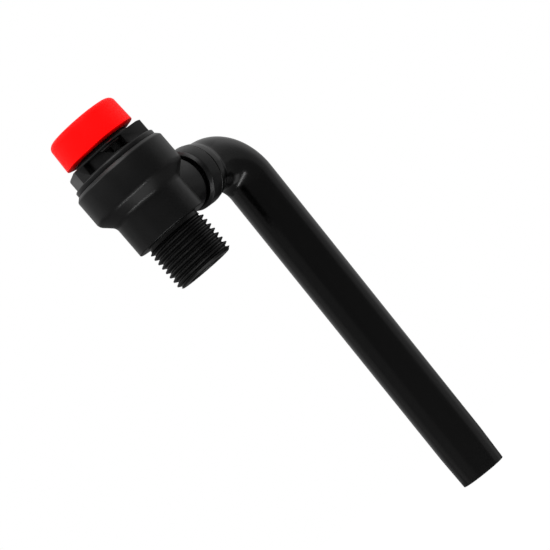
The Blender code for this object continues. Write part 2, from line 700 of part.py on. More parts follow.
def make_stem(parent):
    """The pieces that lift together: closing disc, its holder and screw, pressure plate and spindle."""
    hole = DISC_SCREW_RADIUS + GAP
    disc = [
        (hole, DISC_Z),
        (SEAT_DISC_RADIUS, DISC_Z),
        (SEAT_DISC_RADIUS, DISC_Z + SEAT_DISC_THICKNESS),
        (hole, DISC_Z + SEAT_DISC_THICKNESS),
    ]
    holder = [
        (hole, HOLDER_Z),
        (SEAT_DISC_RADIUS + GAP, HOLDER_Z),
        (SEAT_DISC_RADIUS + GAP, SKIRT_Z),
        (HOLDER_RADIUS, SKIRT_Z),
        (HOLDER_RADIUS, HOLDER_TOP - EDGE),
        (HOLDER_RADIUS - EDGE, HOLDER_TOP),
        (STUD_RADIUS + GAP, HOLDER_TOP),
        (STUD_RADIUS + GAP, STUD_Z - GAP),
        (hole, STUD_Z - GAP),
    ]
    washer = [
        (hole, DISC_WASHER_Z),
        (DISC_WASHER_RADIUS, DISC_WASHER_Z),
        (DISC_WASHER_RADIUS, DISC_WASHER_Z + DISC_WASHER_THICKNESS),
        (hole, DISC_WASHER_Z + DISC_WASHER_THICKNESS),
    ]
    screw = [
        (0.0, DISC_HEAD_Z),
        *eased(
            (DISC_HEAD_RADIUS / 2, DISC_HEAD_Z),
            (DISC_HEAD_RADIUS, DISC_HEAD_Z),
            (DISC_HEAD_RADIUS, DISC_HEAD_Z + DISC_HEAD_HEIGHT / 2),
        ),
        (DISC_HEAD_RADIUS, DISC_HEAD_Z + DISC_HEAD_HEIGHT),
        (DISC_SCREW_RADIUS, DISC_HEAD_Z + DISC_HEAD_HEIGHT),
        (DISC_SCREW_RADIUS, DISC_SCREW_TOP),
        (0.0, DISC_SCREW_TOP),
    ]
    lip_inner = SPRING_OUTER + GAP
    plate = [
        (STUD_RADIUS + GAP, PLATE_Z),
        (PLATE_RADIUS - EDGE, PLATE_Z),
        (PLATE_RADIUS, PLATE_Z + EDGE),
        (PLATE_RADIUS, PLATE_TOP),
        (lip_inner + PLATE_LIP_WIDTH, PLATE_TOP),
        (lip_inner + PLATE_LIP_WIDTH, PLATE_TOP + PLATE_LIP_HEIGHT),
        (lip_inner, PLATE_TOP + PLATE_LIP_HEIGHT),
        (lip_inner, PLATE_TOP),
        (STUD_RADIUS + GAP, PLATE_TOP),
    ]
    pilot = KNOB_SCREW_RADIUS + FINE_GAP
    flange_z = PLATE_TOP + GAP
    spindle = [
        (0.0, DISC_SCREW_TOP + GAP),
        (hole, DISC_SCREW_TOP + GAP),
        (hole, STUD_Z),
        (STUD_RADIUS, STUD_Z),
        (STUD_RADIUS, flange_z),
        (SPINDLE_FLANGE_RADIUS, flange_z),
        (SPINDLE_FLANGE_RADIUS, flange_z + SPINDLE_FLANGE_THICKNESS),
        (SPINDLE_RADIUS, flange_z + SPINDLE_FLANGE_THICKNESS),
        (SPINDLE_RADIUS, SPINDLE_TOP),
        (pilot, SPINDLE_TOP),
        (pilot, KNOB_HEAD_Z - KNOB_SCREW_LENGTH - FINE_GAP),
        (0.0, KNOB_HEAD_Z - KNOB_SCREW_LENGTH - FINE_GAP),
    ]
    knob_washer = [
        (pilot, KNOB_WASHER_Z),
        (RECESS_RADIUS - FINE_GAP, KNOB_WASHER_Z),
        (RECESS_RADIUS - FINE_GAP, KNOB_WASHER_Z + KNOB_WASHER_THICKNESS),
        (pilot, KNOB_WASHER_Z + KNOB_WASHER_THICKNESS),
    ]
    head_top = KNOB_HEAD_Z + KNOB_HEAD_HEIGHT
    knob_screw = [
        (0.0, KNOB_HEAD_Z - KNOB_SCREW_LENGTH),
        (KNOB_SCREW_RADIUS, KNOB_HEAD_Z - KNOB_SCREW_LENGTH),
        (KNOB_SCREW_RADIUS, KNOB_HEAD_Z),
        (KNOB_HEAD_RADIUS, KNOB_HEAD_Z),
        (KNOB_HEAD_RADIUS, KNOB_HEAD_Z + KNOB_HEAD_HEIGHT / 2),
        *eased(
            (KNOB_HEAD_RADIUS, KNOB_HEAD_Z + KNOB_HEAD_HEIGHT / 2),
            (KNOB_HEAD_RADIUS, head_top),
            (KNOB_HEAD_RADIUS / 2, head_top),
        )[1:],
        (0.0, head_top),
    ]
    pieces = [
        ("seat_disc", disc, "rubber", SMALL_ROUND),
        ("disc_holder", holder, "brass", SMALL_ROUND),
        ("disc_washer", washer, "steel", SMALL_ROUND),
        ("disc_screw", screw, "steel", SMALL_ROUND),
        ("pressure_plate", plate, "steel", SMALL_ROUND),
        ("spindle", spindle, "brass", SMALL_ROUND),
        ("knob_washer", knob_washer, "steel", SMALL_ROUND),
        ("knob_screw", knob_screw, "steel", SMALL_ROUND),
    ]
    for name, profile, material_name, segments in pieces:
        turned(name, profile, material_name, segments).parent = parent


def lug_floor(angle, foot):
    return CROWN_FLOOR + GAP + ramp_height(angle, foot)


def make_lifting_cam(parent):
    """The ring under the knob: three lugs climb the crown's ramps, and keys turn it with the knob."""
    ring = [
        (CAM_INNER, CAM_FLANGE_Z),
        (CAM_RADIUS, CAM_FLANGE_Z),
        (CAM_RADIUS, CAM_FLANGE_TOP),
        (SLEEVE_OUTER, CAM_FLANGE_TOP),
        (SLEEVE_OUTER, CAM_TOP - EDGE),
        (SLEEVE_OUTER - EDGE, CAM_TOP),
        (CAM_INNER, CAM_TOP),
    ]
    cam = turned("lifting_cam", ring, "black_acetal", INNER_ROUND)
    cam.parent = parent
    for number, foot in enumerate(cam_turns(RAMP_FOOT)):
        start = foot - LUG_OVERHANG
        lug = sector(
            f"lug_{number}",
            CAM_INNER + FINE_GAP,
            CAM_RADIUS - FINE_GAP,
            [start, foot - LUG_OVERHANG / 2, *arc_angles(foot, start + LUG_ARC, 6)],
            lambda angle, foot=foot: lug_floor(angle, foot),
            lambda angle: CAM_FLANGE_Z + LUG_ROOT,
            "black_acetal",
        )
        combine(cam, lug, "UNION")
    for number, turn in enumerate(cam_turns(KEY_TURN)):
        combine(cam, key_box(f"cam_key_{number}", turn, 0.0, "black_acetal"), "UNION")
    return cam


def key_box(name, turn, clearance, material_name):
    """A key on the cam's sleeve or, with a clearance, the slot in the knob that takes it."""
    inner = SLEEVE_OUTER - EDGE
    outer = SLEEVE_OUTER + KEY_DEPTH + clearance
    low = KNOB_Z + GAP if clearance == 0.0 else KNOB_Z - CUT_MARGIN
    high = CAM_TOP - EDGE + clearance
    centre = ((inner + outer) / 2, 0.0, (low + high) / 2)
    size = (outer - inner, KEY_WIDTH + 2 * clearance, high - low)
    return box(name, centre, size, turn, material_name)


def knob_side(height):
    """Radius of the knob's drafted side, which narrows towards the top."""
    return KNOB_RADIUS - KNOB_DRAFT * (height - KNOB_Z) / (KNOB_TOP - KNOB_Z)


def make_knob(parent):
    crown_z = KNOB_TOP - KNOB_CROWN
    bevel_z = KNOB_Z + KNOB_BEVEL_HEIGHT
    shoulder_z = crown_z - KNOB_SHOULDER_DROP
    shoulder_radius = knob_side(shoulder_z) - KNOB_SHOULDER
    recess_lip = KNOB_TOP - KNOB_CROWN * (RECESS_RADIUS / shoulder_radius) ** 2
    crown = []
    for step in range(1, 4):
        radius = shoulder_radius + (RECESS_RADIUS - shoulder_radius) * step / 4
        crown.append((radius, KNOB_TOP - KNOB_CROWN * (radius / shoulder_radius) ** 2))
    spindle_hole = SPINDLE_RADIUS + GAP
    bevel_middle = (
        KNOB_FOOT_RADIUS + KNOB_BEVEL / 2 + KNOB_BEVEL_BULGE,
        KNOB_Z + KNOB_BEVEL_HEIGHT / 2 - KNOB_BEVEL_BULGE,
    )
    profile = [
        (KNOB_BORE, KNOB_Z),
        (KNOB_FOOT_RADIUS, KNOB_Z),
        *eased(
            (KNOB_FOOT_RADIUS + EDGE, KNOB_Z + EDGE / 2),
            bevel_middle,
            (KNOB_RADIUS - EDGE / 2, bevel_z - EDGE / 2),
            3,
        ),
        (KNOB_RADIUS, bevel_z),
        *eased(
            (knob_side(shoulder_z), shoulder_z),
            (knob_side(crown_z), crown_z),
            (shoulder_radius, crown_z),
            5,
        ),
        *crown,
        (RECESS_RADIUS, recess_lip),
        (RECESS_RADIUS, RECESS_Z),
        (spindle_hole, RECESS_Z),
        (spindle_hole, HUB_Z),
        (HUB_RADIUS, HUB_Z),
        (HUB_RADIUS, KNOB_CEILING),
        (KNOB_BORE, KNOB_CEILING),
    ]
    knob = turned("knob", profile, "red_plastic")
    knob.parent = parent
    for number, turn in enumerate(cam_turns(KEY_TURN)):
        combine(knob, key_box(f"knob_key_slot_{number}", turn, GAP, "red_plastic"), "DIFFERENCE")
    return knob


def make_outlet_seals():
    for name, middle in (("inner_o_ring", O_RING_X), ("outer_o_ring", O_RING_X + O_RING_PITCH)):
        sides = [math.tau * side / WIRE_SIDES for side in range(WIRE_SIDES)]
        across = [O_RING_MIDDLE + O_RING_RADIUS * math.cos(a) for a in sides]
        along = [middle + O_RING_RADIUS * math.sin(a) for a in sides]
        section = list(zip(across, along))
        along_outlet(turned(name, section, "rubber", SMALL_ROUND))


def make_retaining_clip():
    """A split ring that snaps into the spigot's first groove and stops the collar from pulling off."""
    angles = arc_angles(CLIP_OPENING / 2, 360.0 - CLIP_OPENING / 2, 20)
    clip = sector(
        "retaining_clip",
        CLIP_GROOVE_RADIUS + FINE_GAP,
        PIPE_NOSE_RADIUS,
        angles,
        lambda angle: CLIP_X,
        lambda angle: CLIP_END,
        "black_acetal",
    )
    along_outlet(clip)


def make_collar(parent):
    profile = [
        (COLLAR_MOUTH, COLLAR_X),
        (COLLAR_RADIUS - COLLAR_CHAMFER, COLLAR_X),
        (COLLAR_RADIUS, COLLAR_X + COLLAR_CHAMFER_LENGTH),
        (COLLAR_RADIUS, COLLAR_END - EDGE / 2),
        (COLLAR_RADIUS - EDGE / 2, COLLAR_END),
        (COLLAR_INNER, COLLAR_END),
        (COLLAR_INNER, COLLAR_X + COLLAR_LIP),
        (COLLAR_THROAT, COLLAR_X + COLLAR_LIP),
        (COLLAR_THROAT, COLLAR_X + COLLAR_LIP / 2),
    ]
    collar = turned("retaining_collar", profile, "black_nylon")
    collar.rotation_euler = (0.0, math.pi / 2, 0.0)
    collar.parent = parent


def pipe_station(distance):
    """Centre of the pipe's bore at a distance along it, and the direction away from the bend's centre."""
    bend = math.pi / 2 * ELBOW_RADIUS
    if distance <= ELBOW_X:
        return Vector((distance, 0.0, 0.0)), Vector((0.0, 0.0, 1.0))
    if distance >= ELBOW_X + bend:
        down = distance - ELBOW_X - bend
        return Vector((PIPE_AXIS_X, 0.0, -ELBOW_RADIUS - down)), Vector((1.0, 0.0, 0.0))
    turn = (distance - ELBOW_X) / ELBOW_RADIUS
    outward = Vector((math.sin(turn), 0.0, math.cos(turn)))
    return Vector((ELBOW_X, 0.0, -ELBOW_RADIUS)) + outward * ELBOW_RADIUS, outward


def pipe_ring(distance, radius):
    centre, outward = pipe_station(distance)
    sides = [math.tau * side / PIPE_SIDES for side in range(PIPE_SIDES)]
    across = Vector((0.0, 1.0, 0.0))
    return [centre + radius * (outward * math.cos(a) + across * math.sin(a)) for a in sides]


def bend_radius(distance, bend_end):
    """Outer radius round the elbow, which draws in from the neck to the leg."""
    return PIPE_RADIUS + NECK_SWELL * (bend_end - distance) / (bend_end - ELBOW_X)


def make_discharge_pipe(parent):
    """One moulding: a socket on the spigot, a tight elbow and a leg that narrows towards its open end."""
    bend_end = ELBOW_X + math.pi / 2 * ELBOW_RADIUS
    leg_end = bend_end + PIPE_DROP - ELBOW_RADIUS
    bend = arc_angles(ELBOW_X, bend_end, ELBOW_STEPS)
    cone_slope = (COLLAR_RADIUS - NECK_RADIUS) / (NECK_X - PIPE_SHOULDER_X)
    neck = eased(
        (NECK_X - ELBOW_LEAD / 2, NECK_RADIUS + cone_slope * ELBOW_LEAD / 2),
        (NECK_X, NECK_RADIUS),
        (NECK_X + ELBOW_LEAD / 2, NECK_RADIUS),
    )
    outer = [
        (PIPE_NOSE_X, PIPE_NOSE_RADIUS),
        (PIPE_SHOULDER_X, PIPE_NOSE_RADIUS),
        (PIPE_SHOULDER_X, COLLAR_RADIUS - EDGE / 2),
        (PIPE_SHOULDER_X + EDGE / 2, COLLAR_RADIUS),
        *neck,
        *[(distance, bend_radius(distance, bend_end)) for distance in bend],
        (leg_end - TIP_LENGTH, TIP_TOP_RADIUS),
        (leg_end - EDGE, TIP_RADIUS),
        (leg_end, TIP_RADIUS - EDGE),
    ]
    inner = [
        (leg_end, TIP_RADIUS - PIPE_END_WALL),
        *[(distance, PIPE_RADIUS - PIPE_WALL) for distance in reversed(bend)],
        (SOCKET_END, PIPE_RADIUS - PIPE_WALL),
        (SOCKET_END, SOCKET_RADIUS),
        (PIPE_NOSE_X, SOCKET_RADIUS),
    ]
    rings = [pipe_ring(distance, radius) for distance, radius in outer + inner]
    pipe = lofted("discharge_pipe", rings, "black_polypropylene", closed=True)
    pipe.parent = parent
    return pipe


def main():
    clear_scene()
    stem_axis = axis_empty("stem_axis", (0.0, 0.0, 0.0))
    knob_axis = axis_empty("knob_axis", (0.0, 0.0, 0.0))
    outlet_axis = axis_empty("outlet_axis", (0.0, 0.0, OUTLET_Z), (math.radians(PIPE_SWIVEL), 0.0, 0.0))
    make_body()
    make_bonnet()
    make_sealing_stack()
    make_spring()
    make_spring_seats()
    make_stem(stem_axis)
    make_lifting_cam(knob_axis)
    make_knob(knob_axis)
    make_outlet_seals()
    make_retaining_clip()
    make_collar(outlet_axis)
    make_discharge_pipe(outlet_axis)


main()
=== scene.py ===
"""A small diaphragm safety relief valve with its red test knob and its long discharge pipe.

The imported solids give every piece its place. This file models the pieces that show with finer surfaces, cuts
the inlet's thread, gives each piece its finish, and sets up the camera, the lamps and a pale floor.
Sizes are in metres. +Z runs up the valve's axis from the inlet to the knob, and +X out along the outlet.
"""

import json
import math

import bmesh
import bpy
from mathutils import Matrix, Vector


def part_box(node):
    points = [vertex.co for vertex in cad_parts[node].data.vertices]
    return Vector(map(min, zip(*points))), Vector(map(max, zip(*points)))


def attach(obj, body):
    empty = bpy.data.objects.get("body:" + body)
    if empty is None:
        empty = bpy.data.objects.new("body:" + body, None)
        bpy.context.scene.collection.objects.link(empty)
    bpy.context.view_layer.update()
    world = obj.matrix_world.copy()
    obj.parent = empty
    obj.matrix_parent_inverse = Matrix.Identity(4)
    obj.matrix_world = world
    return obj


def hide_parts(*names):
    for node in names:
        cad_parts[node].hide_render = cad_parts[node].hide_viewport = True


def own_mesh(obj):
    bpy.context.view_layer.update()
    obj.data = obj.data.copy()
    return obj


bl_info = {
    "name": "Safety Relief Valve",
    "version": (1, 0, 0),
    "blender": (4, 5, 0),
    "location": "View3D > Sidebar > Relief Valve",
    "description": "Models a diaphragm safety relief valve with a test knob and a discharge pipe",
    "category": "Add Mesh",
}

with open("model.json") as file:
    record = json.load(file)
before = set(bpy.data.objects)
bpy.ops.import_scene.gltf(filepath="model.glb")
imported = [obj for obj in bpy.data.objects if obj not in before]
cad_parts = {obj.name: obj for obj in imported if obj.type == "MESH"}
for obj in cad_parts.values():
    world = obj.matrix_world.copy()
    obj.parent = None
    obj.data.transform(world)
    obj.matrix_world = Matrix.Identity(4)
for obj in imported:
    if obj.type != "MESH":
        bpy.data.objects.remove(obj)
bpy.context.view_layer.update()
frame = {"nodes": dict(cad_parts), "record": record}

BODY_LOW, BODY_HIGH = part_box("valve_body")
BONNET_LOW, BONNET_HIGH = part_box("bonnet")
CAM_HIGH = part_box("lifting_cam")[1]
KNOB_LOW, KNOB_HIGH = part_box("knob")
COLLAR_LOW, COLLAR_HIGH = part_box("retaining_collar")
PIPE_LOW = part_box("discharge_pipe")[0]
DISC_LOW, DISC_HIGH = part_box("seat_disc")

# Points closer together than this are made one, and those of the thread's turns a little sooner.
MERGE = 1e-7
THREAD_MERGE = 1e-6

# The pipe's end: how near to it a point lies on it, and the turn in radians past which an edge is a lip.
END_MERGE = 1e-6
FOLD = 0.5

# How far a tool reaches past what it cuts, and into what it joins.
CUT_MARGIN = 0.001
INSET = 0.0005
OVERLAP = 0.0001
RAMP_OVERLAP = 0.00015
DEEP_OVERLAP = 0.0003
ARC_OVERLAP = 0.002

# Keeps a tool's face off a face that it would share.
NUDGE = 0.00001
TOP_CLEARANCE = 0.00002
CORNER_CLEARANCE = 0.00005

# The thread fades at its groove over this share of its depth.
RUN_OUT = 0.7

# Chamfer where the way in opens, and the fall of the nozzle's top outside the seat.
MOUTH_CHAMFER = 0.0005
SEAT_FALL = 0.0009

# Rise of the knob's shoulder towards its crown, and the flare's last fall to the pipe's neck.
SHOULDER_RISE = 0.00005
NECK_SWELL = 0.00003
NECK_SETBACK = 0.0003

# Edges that turn by more than this many degrees stay sharp, on pieces as turned and on carved ones.
TURNED_SHARP = 32.0
CARVED_SHARP = 30.0

# Roundings of edges, from none to a generous one.
SQUARE = 0.0
CRISP = 0.0001
EASED = 0.0002
SOFT = 0.0003
ROUNDED = 0.0004
FULL = 0.0005
BROAD = 0.0006

# Facets along the blocks that are swept about the valve's axis, and along the pipe.
RAMP_STEPS = 24
CREST_STEPS = 16
WALL_STEPS = 20
WALL_SLOPE_STEPS = 12
ELBOW_STEPS = 32
LEG_STEPS = 20
TIP_STEPS = 6

# A cross recess's reach over its screw's head, and how much wider the disc screw's slots are.
CROSS_REACH = 1.15
WIDE_CROSS = 1.2

# Height of the grain on the black mouldings.
GRAIN_DEPTH = 0.000004

# The photograph's width and the camera's focal length in pixels, and the sensor's width in millimetres.
PHOTO_WIDTH = 550
FOCAL_PIXELS = 3400.0
SENSOR_WIDTH = 36.0


def linear(hex_colour):
    """Linear colour of an sRGB hex value such as #1c1c1e."""
    channels = [int(hex_colour[place : place + 2], 16) / 255 for place in (1, 3, 5)]
    return tuple(c / 12.92 if c <= 0.04045 else ((c + 0.055) / 1.055) ** 2.4 for c in channels)


def length(name, description, default, low=0.00001, high=1.0):
    """A length property in metres."""
    return bpy.props.FloatProperty(
        name=name, description=description, default=default, min=low, max=high, precision=5, unit="LENGTH"
    )


def angle(name, description, default):
    """An angle property, given in degrees and held in radians."""
    return bpy.props.FloatProperty(
        name=name, description=description, default=math.radians(default), subtype="ANGLE", unit="ROTATION"
    )


def colour(name, description, hex_colour):
    return bpy.props.FloatVectorProperty(
        name=name,
        description=description,
        default=linear(hex_colour),
        subtype="COLOR",
        size=3,
        min=0.0,
        max=1.0,
    )


def steps(name, description, default):
    return bpy.props.IntProperty(name=name, description=description, default=default, min=3, max=512)


class FineSurface(bpy.types.PropertyGroup):
    """How finely the pieces are made."""

    turned: steps("Turned Steps", "Facets round a large turned piece", 128)
    small: steps("Small Steps", "Facets round a small turned piece", 64)
    bore: steps("Bore Steps", "Facets round a bore, the outlet and the pipe", 96)
    thread: steps("Thread Steps", "Facets round the inlet's thread", 72)
    knob: steps("Knob Steps", "Facets round the knob", 160)
    corner: steps("Corner Steps", "Facets across a rounded corner", 5)
    fit: length("Fit", "Gap between pieces that touch", 0.0003)
    fine_fit: length("Fine Fit", "Gap between the small pieces of the stem", 0.00015)


class NippleSizes(bpy.types.PropertyGroup):
    """The male inlet thread, a parallel half-inch pipe thread."""

    radius: length("Crest Radius", "Radius over the thread's crests", 0.0104)
    pitch: length("Pitch", "Distance between crests, 14 threads to the inch", 0.0254 / 14)
    depth: length("Depth", "Height of a thread from root to crest", 0.00116)
    reach: length("Length", "Length of the threaded stretch", 0.0150)
    chamfer: length("End Chamfer", "Chamfer at the open end", 0.0011)
    relief: length("Relief Radius", "Radius of the groove under the shoulder", 0.0095)
    relief_rounding: length("Relief Rounding", "Rounding between the groove and the shoulder", 0.00015)
    bore: length("Bore Radius", "Radius of the way in", 0.00625)


class BodySizes(bpy.types.PropertyGroup):
    """The moulded body above the thread."""

    shoulder: length("Shoulder Height", "Height of the flange above the open end", 0.0161)
    shoulder_rounding: length("Shoulder Rounding", "Rounding at the shoulder's edge", 0.00035)
    lower_radius: length("Lower Radius", "Radius of the stretch round the nozzle", 0.0129)
    cone_start: length("Cone Start", "Height where the body starts to widen", 0.02775)
    cone_end: length("Cone End", "Height where the body is at its widest", 0.03145)
    upper_radius: length("Upper Radius", "Radius of the wide top", -BODY_LOW.x)
    top: length("Top", "Height of the body's rim", BODY_HIGH.z + 0.00015)
    rim_bevel: length("Rim Bevel", "Bevel round the rim", 0.00115)
    soft_edge: length("Soft Edge", "Rounding where the cone meets the straight walls", 0.0011)
    floor: length("Chamber Floor", "Height of the chamber's floor", 0.0199)
    nozzle_radius: length("Nozzle Radius", "Outer radius of the nozzle", 0.0079)
    lip: length("Seat Lip", "Width of the flat seat round the bore", 0.0007)
    seat: length("Seat Height", "Height of the seat", 0.0274)
    chamber_radius: length("Chamber Radius", "Radius of the lower chamber", 0.0104)
    chamber_step: length("Chamber Step", "Height where the chamber widens", 0.02995)
    wide_radius: length("Wide Chamber Radius", "Radius of the chamber under the ledge", 0.0116)
    ledge: length("Ledge Height", "Height of the ledge under the diaphragm's rim", 0.0358)
    mouth_radius: length("Mouth Radius", "Radius of the mouth that takes the bonnet", 0.0144)


class OutletSizes(bpy.types.PropertyGroup):
    """The side outlet: its boss on the body and the spigot that the pipe turns on."""

    height: length("Axis Height", "Height of the outlet's axis", 0.0257)
    boss_radius: length("Boss Radius", "Radius of the boss", 0.0092)
    boss_reach: length("Boss Reach", "Distance from the valve's axis to the boss's end", 0.01695)
    spigot_radius: length("Spigot Radius", "Radius of the spigot", 0.0074)
    spigot_end: length("Spigot End", "Distance from the valve's axis to the spigot's end", BODY_HIGH.x)
    bore: length("Bore Radius", "Radius of the way out", 0.0050)
    bore_start: length("Bore Start", "Distance from the valve's axis to the way out", 0.00915)
    groove_radius: length("Groove Radius", "Radius at the floor of a sealing ring's groove", 0.0061)
    groove_width: length("Groove Width", "Width of a sealing ring's groove", 0.0016)
    first_groove: length("First Groove", "Distance to the first sealing ring's middle", 0.0239)
    groove_pitch: length("Groove Pitch", "Distance between the two sealing rings", 0.0026)
    clip_start: length("Clip Start", "Distance to the clip's groove", 0.0202)
    clip_end: length("Clip End", "Distance to the end of the clip's groove", 0.0215)
    clip_floor: length("Clip Floor", "Radius at the floor of the clip's groove", 0.0066)
    swivel: angle("Pipe Swivel", "Turn of the pipe about the outlet's axis", 2.8)


class BonnetSizes(bpy.types.PropertyGroup):
    """The bonnet: spigot, flange, guard with two windows, cam crown and the tower round the spring."""

    foot: length("Foot", "Height of the spigot's lower end", BONNET_LOW.z)
    spigot_radius: length("Spigot Radius", "Radius inside the body's mouth", 0.0141)
    flange_low: length("Flange Underside", "Height of the flange's underside", 0.0425)
    flange_top: length("Flange Top", "Height of the flange's top", 0.0441)
    flange_radius: length("Flange Radius", "Radius of the flange", BONNET_HIGH.x)
    hexagon_radius: length("Hexagon Radius", "Distance from the axis to the hexagon's corners", 0.0154)
    hexagon_turn: angle("Hexagon Turn", "Direction of the hexagon's first corner", 55.0)
    guard_top: length("Guard Top", "Height of the guard ring", 0.0487)
    corner_chamfer: length("Corner Chamfer", "Height of the chamfer on the hexagon's top corners", 0.00045)
    corner_rounding: length("Corner Rounding", "Rounding of the hexagon's upright corners", 0.00025)
    edge: length("Guard Edge", "Rounding of the guard's and the windows' edges", 0.00018)
    guard_inner: length("Guard Bore", "Radius inside the guard ring", 0.0113)
    crown_floor: length("Crown Floor", "Height of the floor that the ramps stand on", 0.0445)
    tower_radius: length("Tower Radius", "Outer radius of the tower round the spring", 0.00805)
    tower_top: length("Tower Top", "Height of the tower", BONNET_HIGH.z)
    spring_bore: length("Spring Bore", "Radius of the bore that holds the spring", 0.00665)
    pocket_radius: length("Pocket Radius", "Radius of the pocket over the diaphragm", 0.0102)
    pocket_top: length("Pocket Top", "Height of the pocket's ceiling", 0.0394)
    window_turn: angle("Window Turn", "Direction of the first window's middle", 221.0)
    window_arc: angle("Window Arc", "Width of a window", 67.0)
    window_top: length("Window Top", "Height of the lintel over a window", 0.04815)
    ramp_foot: angle("Ramp Foot", "Direction of the first ramp's foot", 244.0)
    ramp_arc: angle("Ramp Arc", "Turn of the knob that climbs a ramp", 36.0)
    crest_arc: angle("Crest Arc", "Level stretch past the top of a ramp", 31.0)
    lift: length("Lift", "Rise of a ramp", 0.0024)
    wall_thickness: length("Crest Wall", "Thickness of the wall in front of the crest", 0.0004)
    wall_gap: angle("Crest Wall Gap", "Turn from the window's edge to the wall", -6.0)
    wall_arc: angle("Crest Wall Arc", "Turn of the wall at its full height", 35.0)
    wall_slope: angle("Crest Wall Slope", "Turn over which the wall falls to the ramp", 18.0)


class CamSizes(bpy.types.PropertyGroup):
    """The cam ring under the knob."""

    inner: length("Bore Radius", "Radius of the ring's bore", 0.00835)
    sleeve: length("Sleeve Radius", "Outer radius of the sleeve inside the knob", 0.0094)
    outer: length("Flange Radius", "Radius of the flange that carries the lugs", CAM_HIGH.x)
    flange_low: length("Flange Underside", "Height of the flange's underside", 0.0472)
    flange_top: length("Flange Top", "Height of the flange's top", 0.0478)
    top: length("Top", "Height of the sleeve's upper end", CAM_HIGH.z)
    lug_arc: angle("Lug Arc", "Width of a lug", 46.0)
    lug_overhang: angle("Lug Overhang", "How far a lug reaches past the ramp's foot", 8.0)
    lug_edge: length("Lug Edge", "Rounding of a lug's edges", 0.00012)
    key_depth: length("Key Depth", "How far a key stands out of the sleeve", 0.0008)
    key_width: length("Key Width", "Width of a key", 0.0030)
    key_turn: angle("Key Turn", "Direction of the first key", 100.0)


class KnobSizes(bpy.types.PropertyGroup):
    """The red test knob."""

    low: length("Underside", "Height of the knob's underside", KNOB_LOW.z + 0.00055)
    top: length("Top", "Height of the knob's crown", KNOB_HIGH.z)
    radius: length("Lip Radius", "Radius over the sharp lip", KNOB_HIGH.x)
    foot_radius: length("Foot Radius", "Radius of the flat underside", 0.0110)
    foot_rounding: length("Foot Rounding", "Rounding between the flat and the cone", 0.0007)
    bevel_height: length("Bevel Height", "Height of the conical underside", 0.0006)
    lip_rounding: length("Lip Rounding", "Rounding of the lip", 0.00022)
    draft: length("Draft", "How much the side narrows to the top", 0.0004)
    shoulder: length("Shoulder", "Rounding between the side and the crown", 0.0019)
    crown: length("Crown", "Rise of the crown to the middle", 0.0006)
    bore: length("Bore Radius", "Radius inside the knob", 0.0097)
    ceiling: length("Ceiling", "Height of the ceiling inside", 0.0587)
    hub_radius: length("Hub Radius", "Radius of the hub inside", 0.0039)
    hub_low: length("Hub Underside", "Height of the hub's underside", 0.0560)
    recess_radius: length("Recess Radius", "Radius of the recess in the crown", 0.0029)
    recess_floor: length("Recess Floor", "Height of the recess's floor", 0.0584)
    hole_radius: length("Hole Radius", "Radius of the spindle's hole", 0.0023)


class CollarSizes(bpy.types.PropertyGroup):
    """The collar that holds the pipe on its spigot."""

    start: length("Start", "Distance from the valve's axis to the collar", COLLAR_LOW.x)
    end: length("End", "Distance to the collar's far end", COLLAR_HIGH.x + 0.0001)
    radius: length("Radius", "Outer radius", COLLAR_HIGH.y)
    inner: length("Bore Radius", "Radius round the pipe's nose", 0.0096)
    mouth: length("Mouth Radius", "Radius of the mouth at the boss", 0.0091)
    throat: length("Throat Radius", "Radius of the lip behind the clip", 0.0083)
    lip: length("Lip", "Thickness of the lip", 0.0011)
    chamfer: length("Chamfer", "Chamfer towards the boss, across", 0.0010)
    chamfer_length: length("Chamfer Length", "Chamfer towards the boss, along", 0.0009)


class PipeSizes(bpy.types.PropertyGroup):
    """The discharge pipe, one moulding from its flared socket to its open end."""

    nose: length("Nose", "Distance from the valve's axis to the pipe's nose", PIPE_LOW.x)
    nose_radius: length("Nose Radius", "Radius inside the collar", 0.0093)
    shoulder: length("Shoulder", "Distance to the flare's shoulder", 0.0245)
    flare_radius: length("Flare Radius", "Radius of the flare at the collar", 0.01035)
    flare_draft: length("Flare Draft", "How much the flare narrows before it falls to the neck", 0.00065)
    flare_length: length("Flare Length", "Length of the flare's gentle stretch", 0.0030)
    socket_radius: length("Socket Radius", "Radius of the socket on the spigot", 0.0077)
    socket_end: length("Socket End", "Distance to the socket's floor", 0.0285)
    neck: length("Neck", "Distance to the end of the flare", 0.0292)
    neck_rounding: length("Neck Rounding", "Rounding between the flare and the neck", 0.0007)
    elbow: length("Elbow Start", "Distance to the elbow's start", 0.0310)
    elbow_radius: length("Elbow Radius", "Radius of the elbow's centre line", 0.0124)
    neck_radius: length("Neck Radius", "Outer radius where the elbow starts", 0.0090)
    radius: length("Pipe Radius", "Outer radius where the elbow ends", 0.00845)
    tip_radius: length("Tip Radius", "Outer radius where the last stretch starts", 0.0082)
    end_radius: length("End Radius", "Outer radius at the open end", 0.00785)
    tip_length: length("Tip Length", "Length of the last stretch, which narrows more", 0.0120)
    bore: length("Bore Radius", "Inner radius at the elbow", 0.00645)
    end_bore: length("End Bore Radius", "Inner radius at the open end", 0.0063)
    drop: length("Drop", "Distance from the outlet's axis to the pipe's end", 0.13119)
    end_edge: length("End Edge", "Rounding of the two edges at the open end", 0.00022)


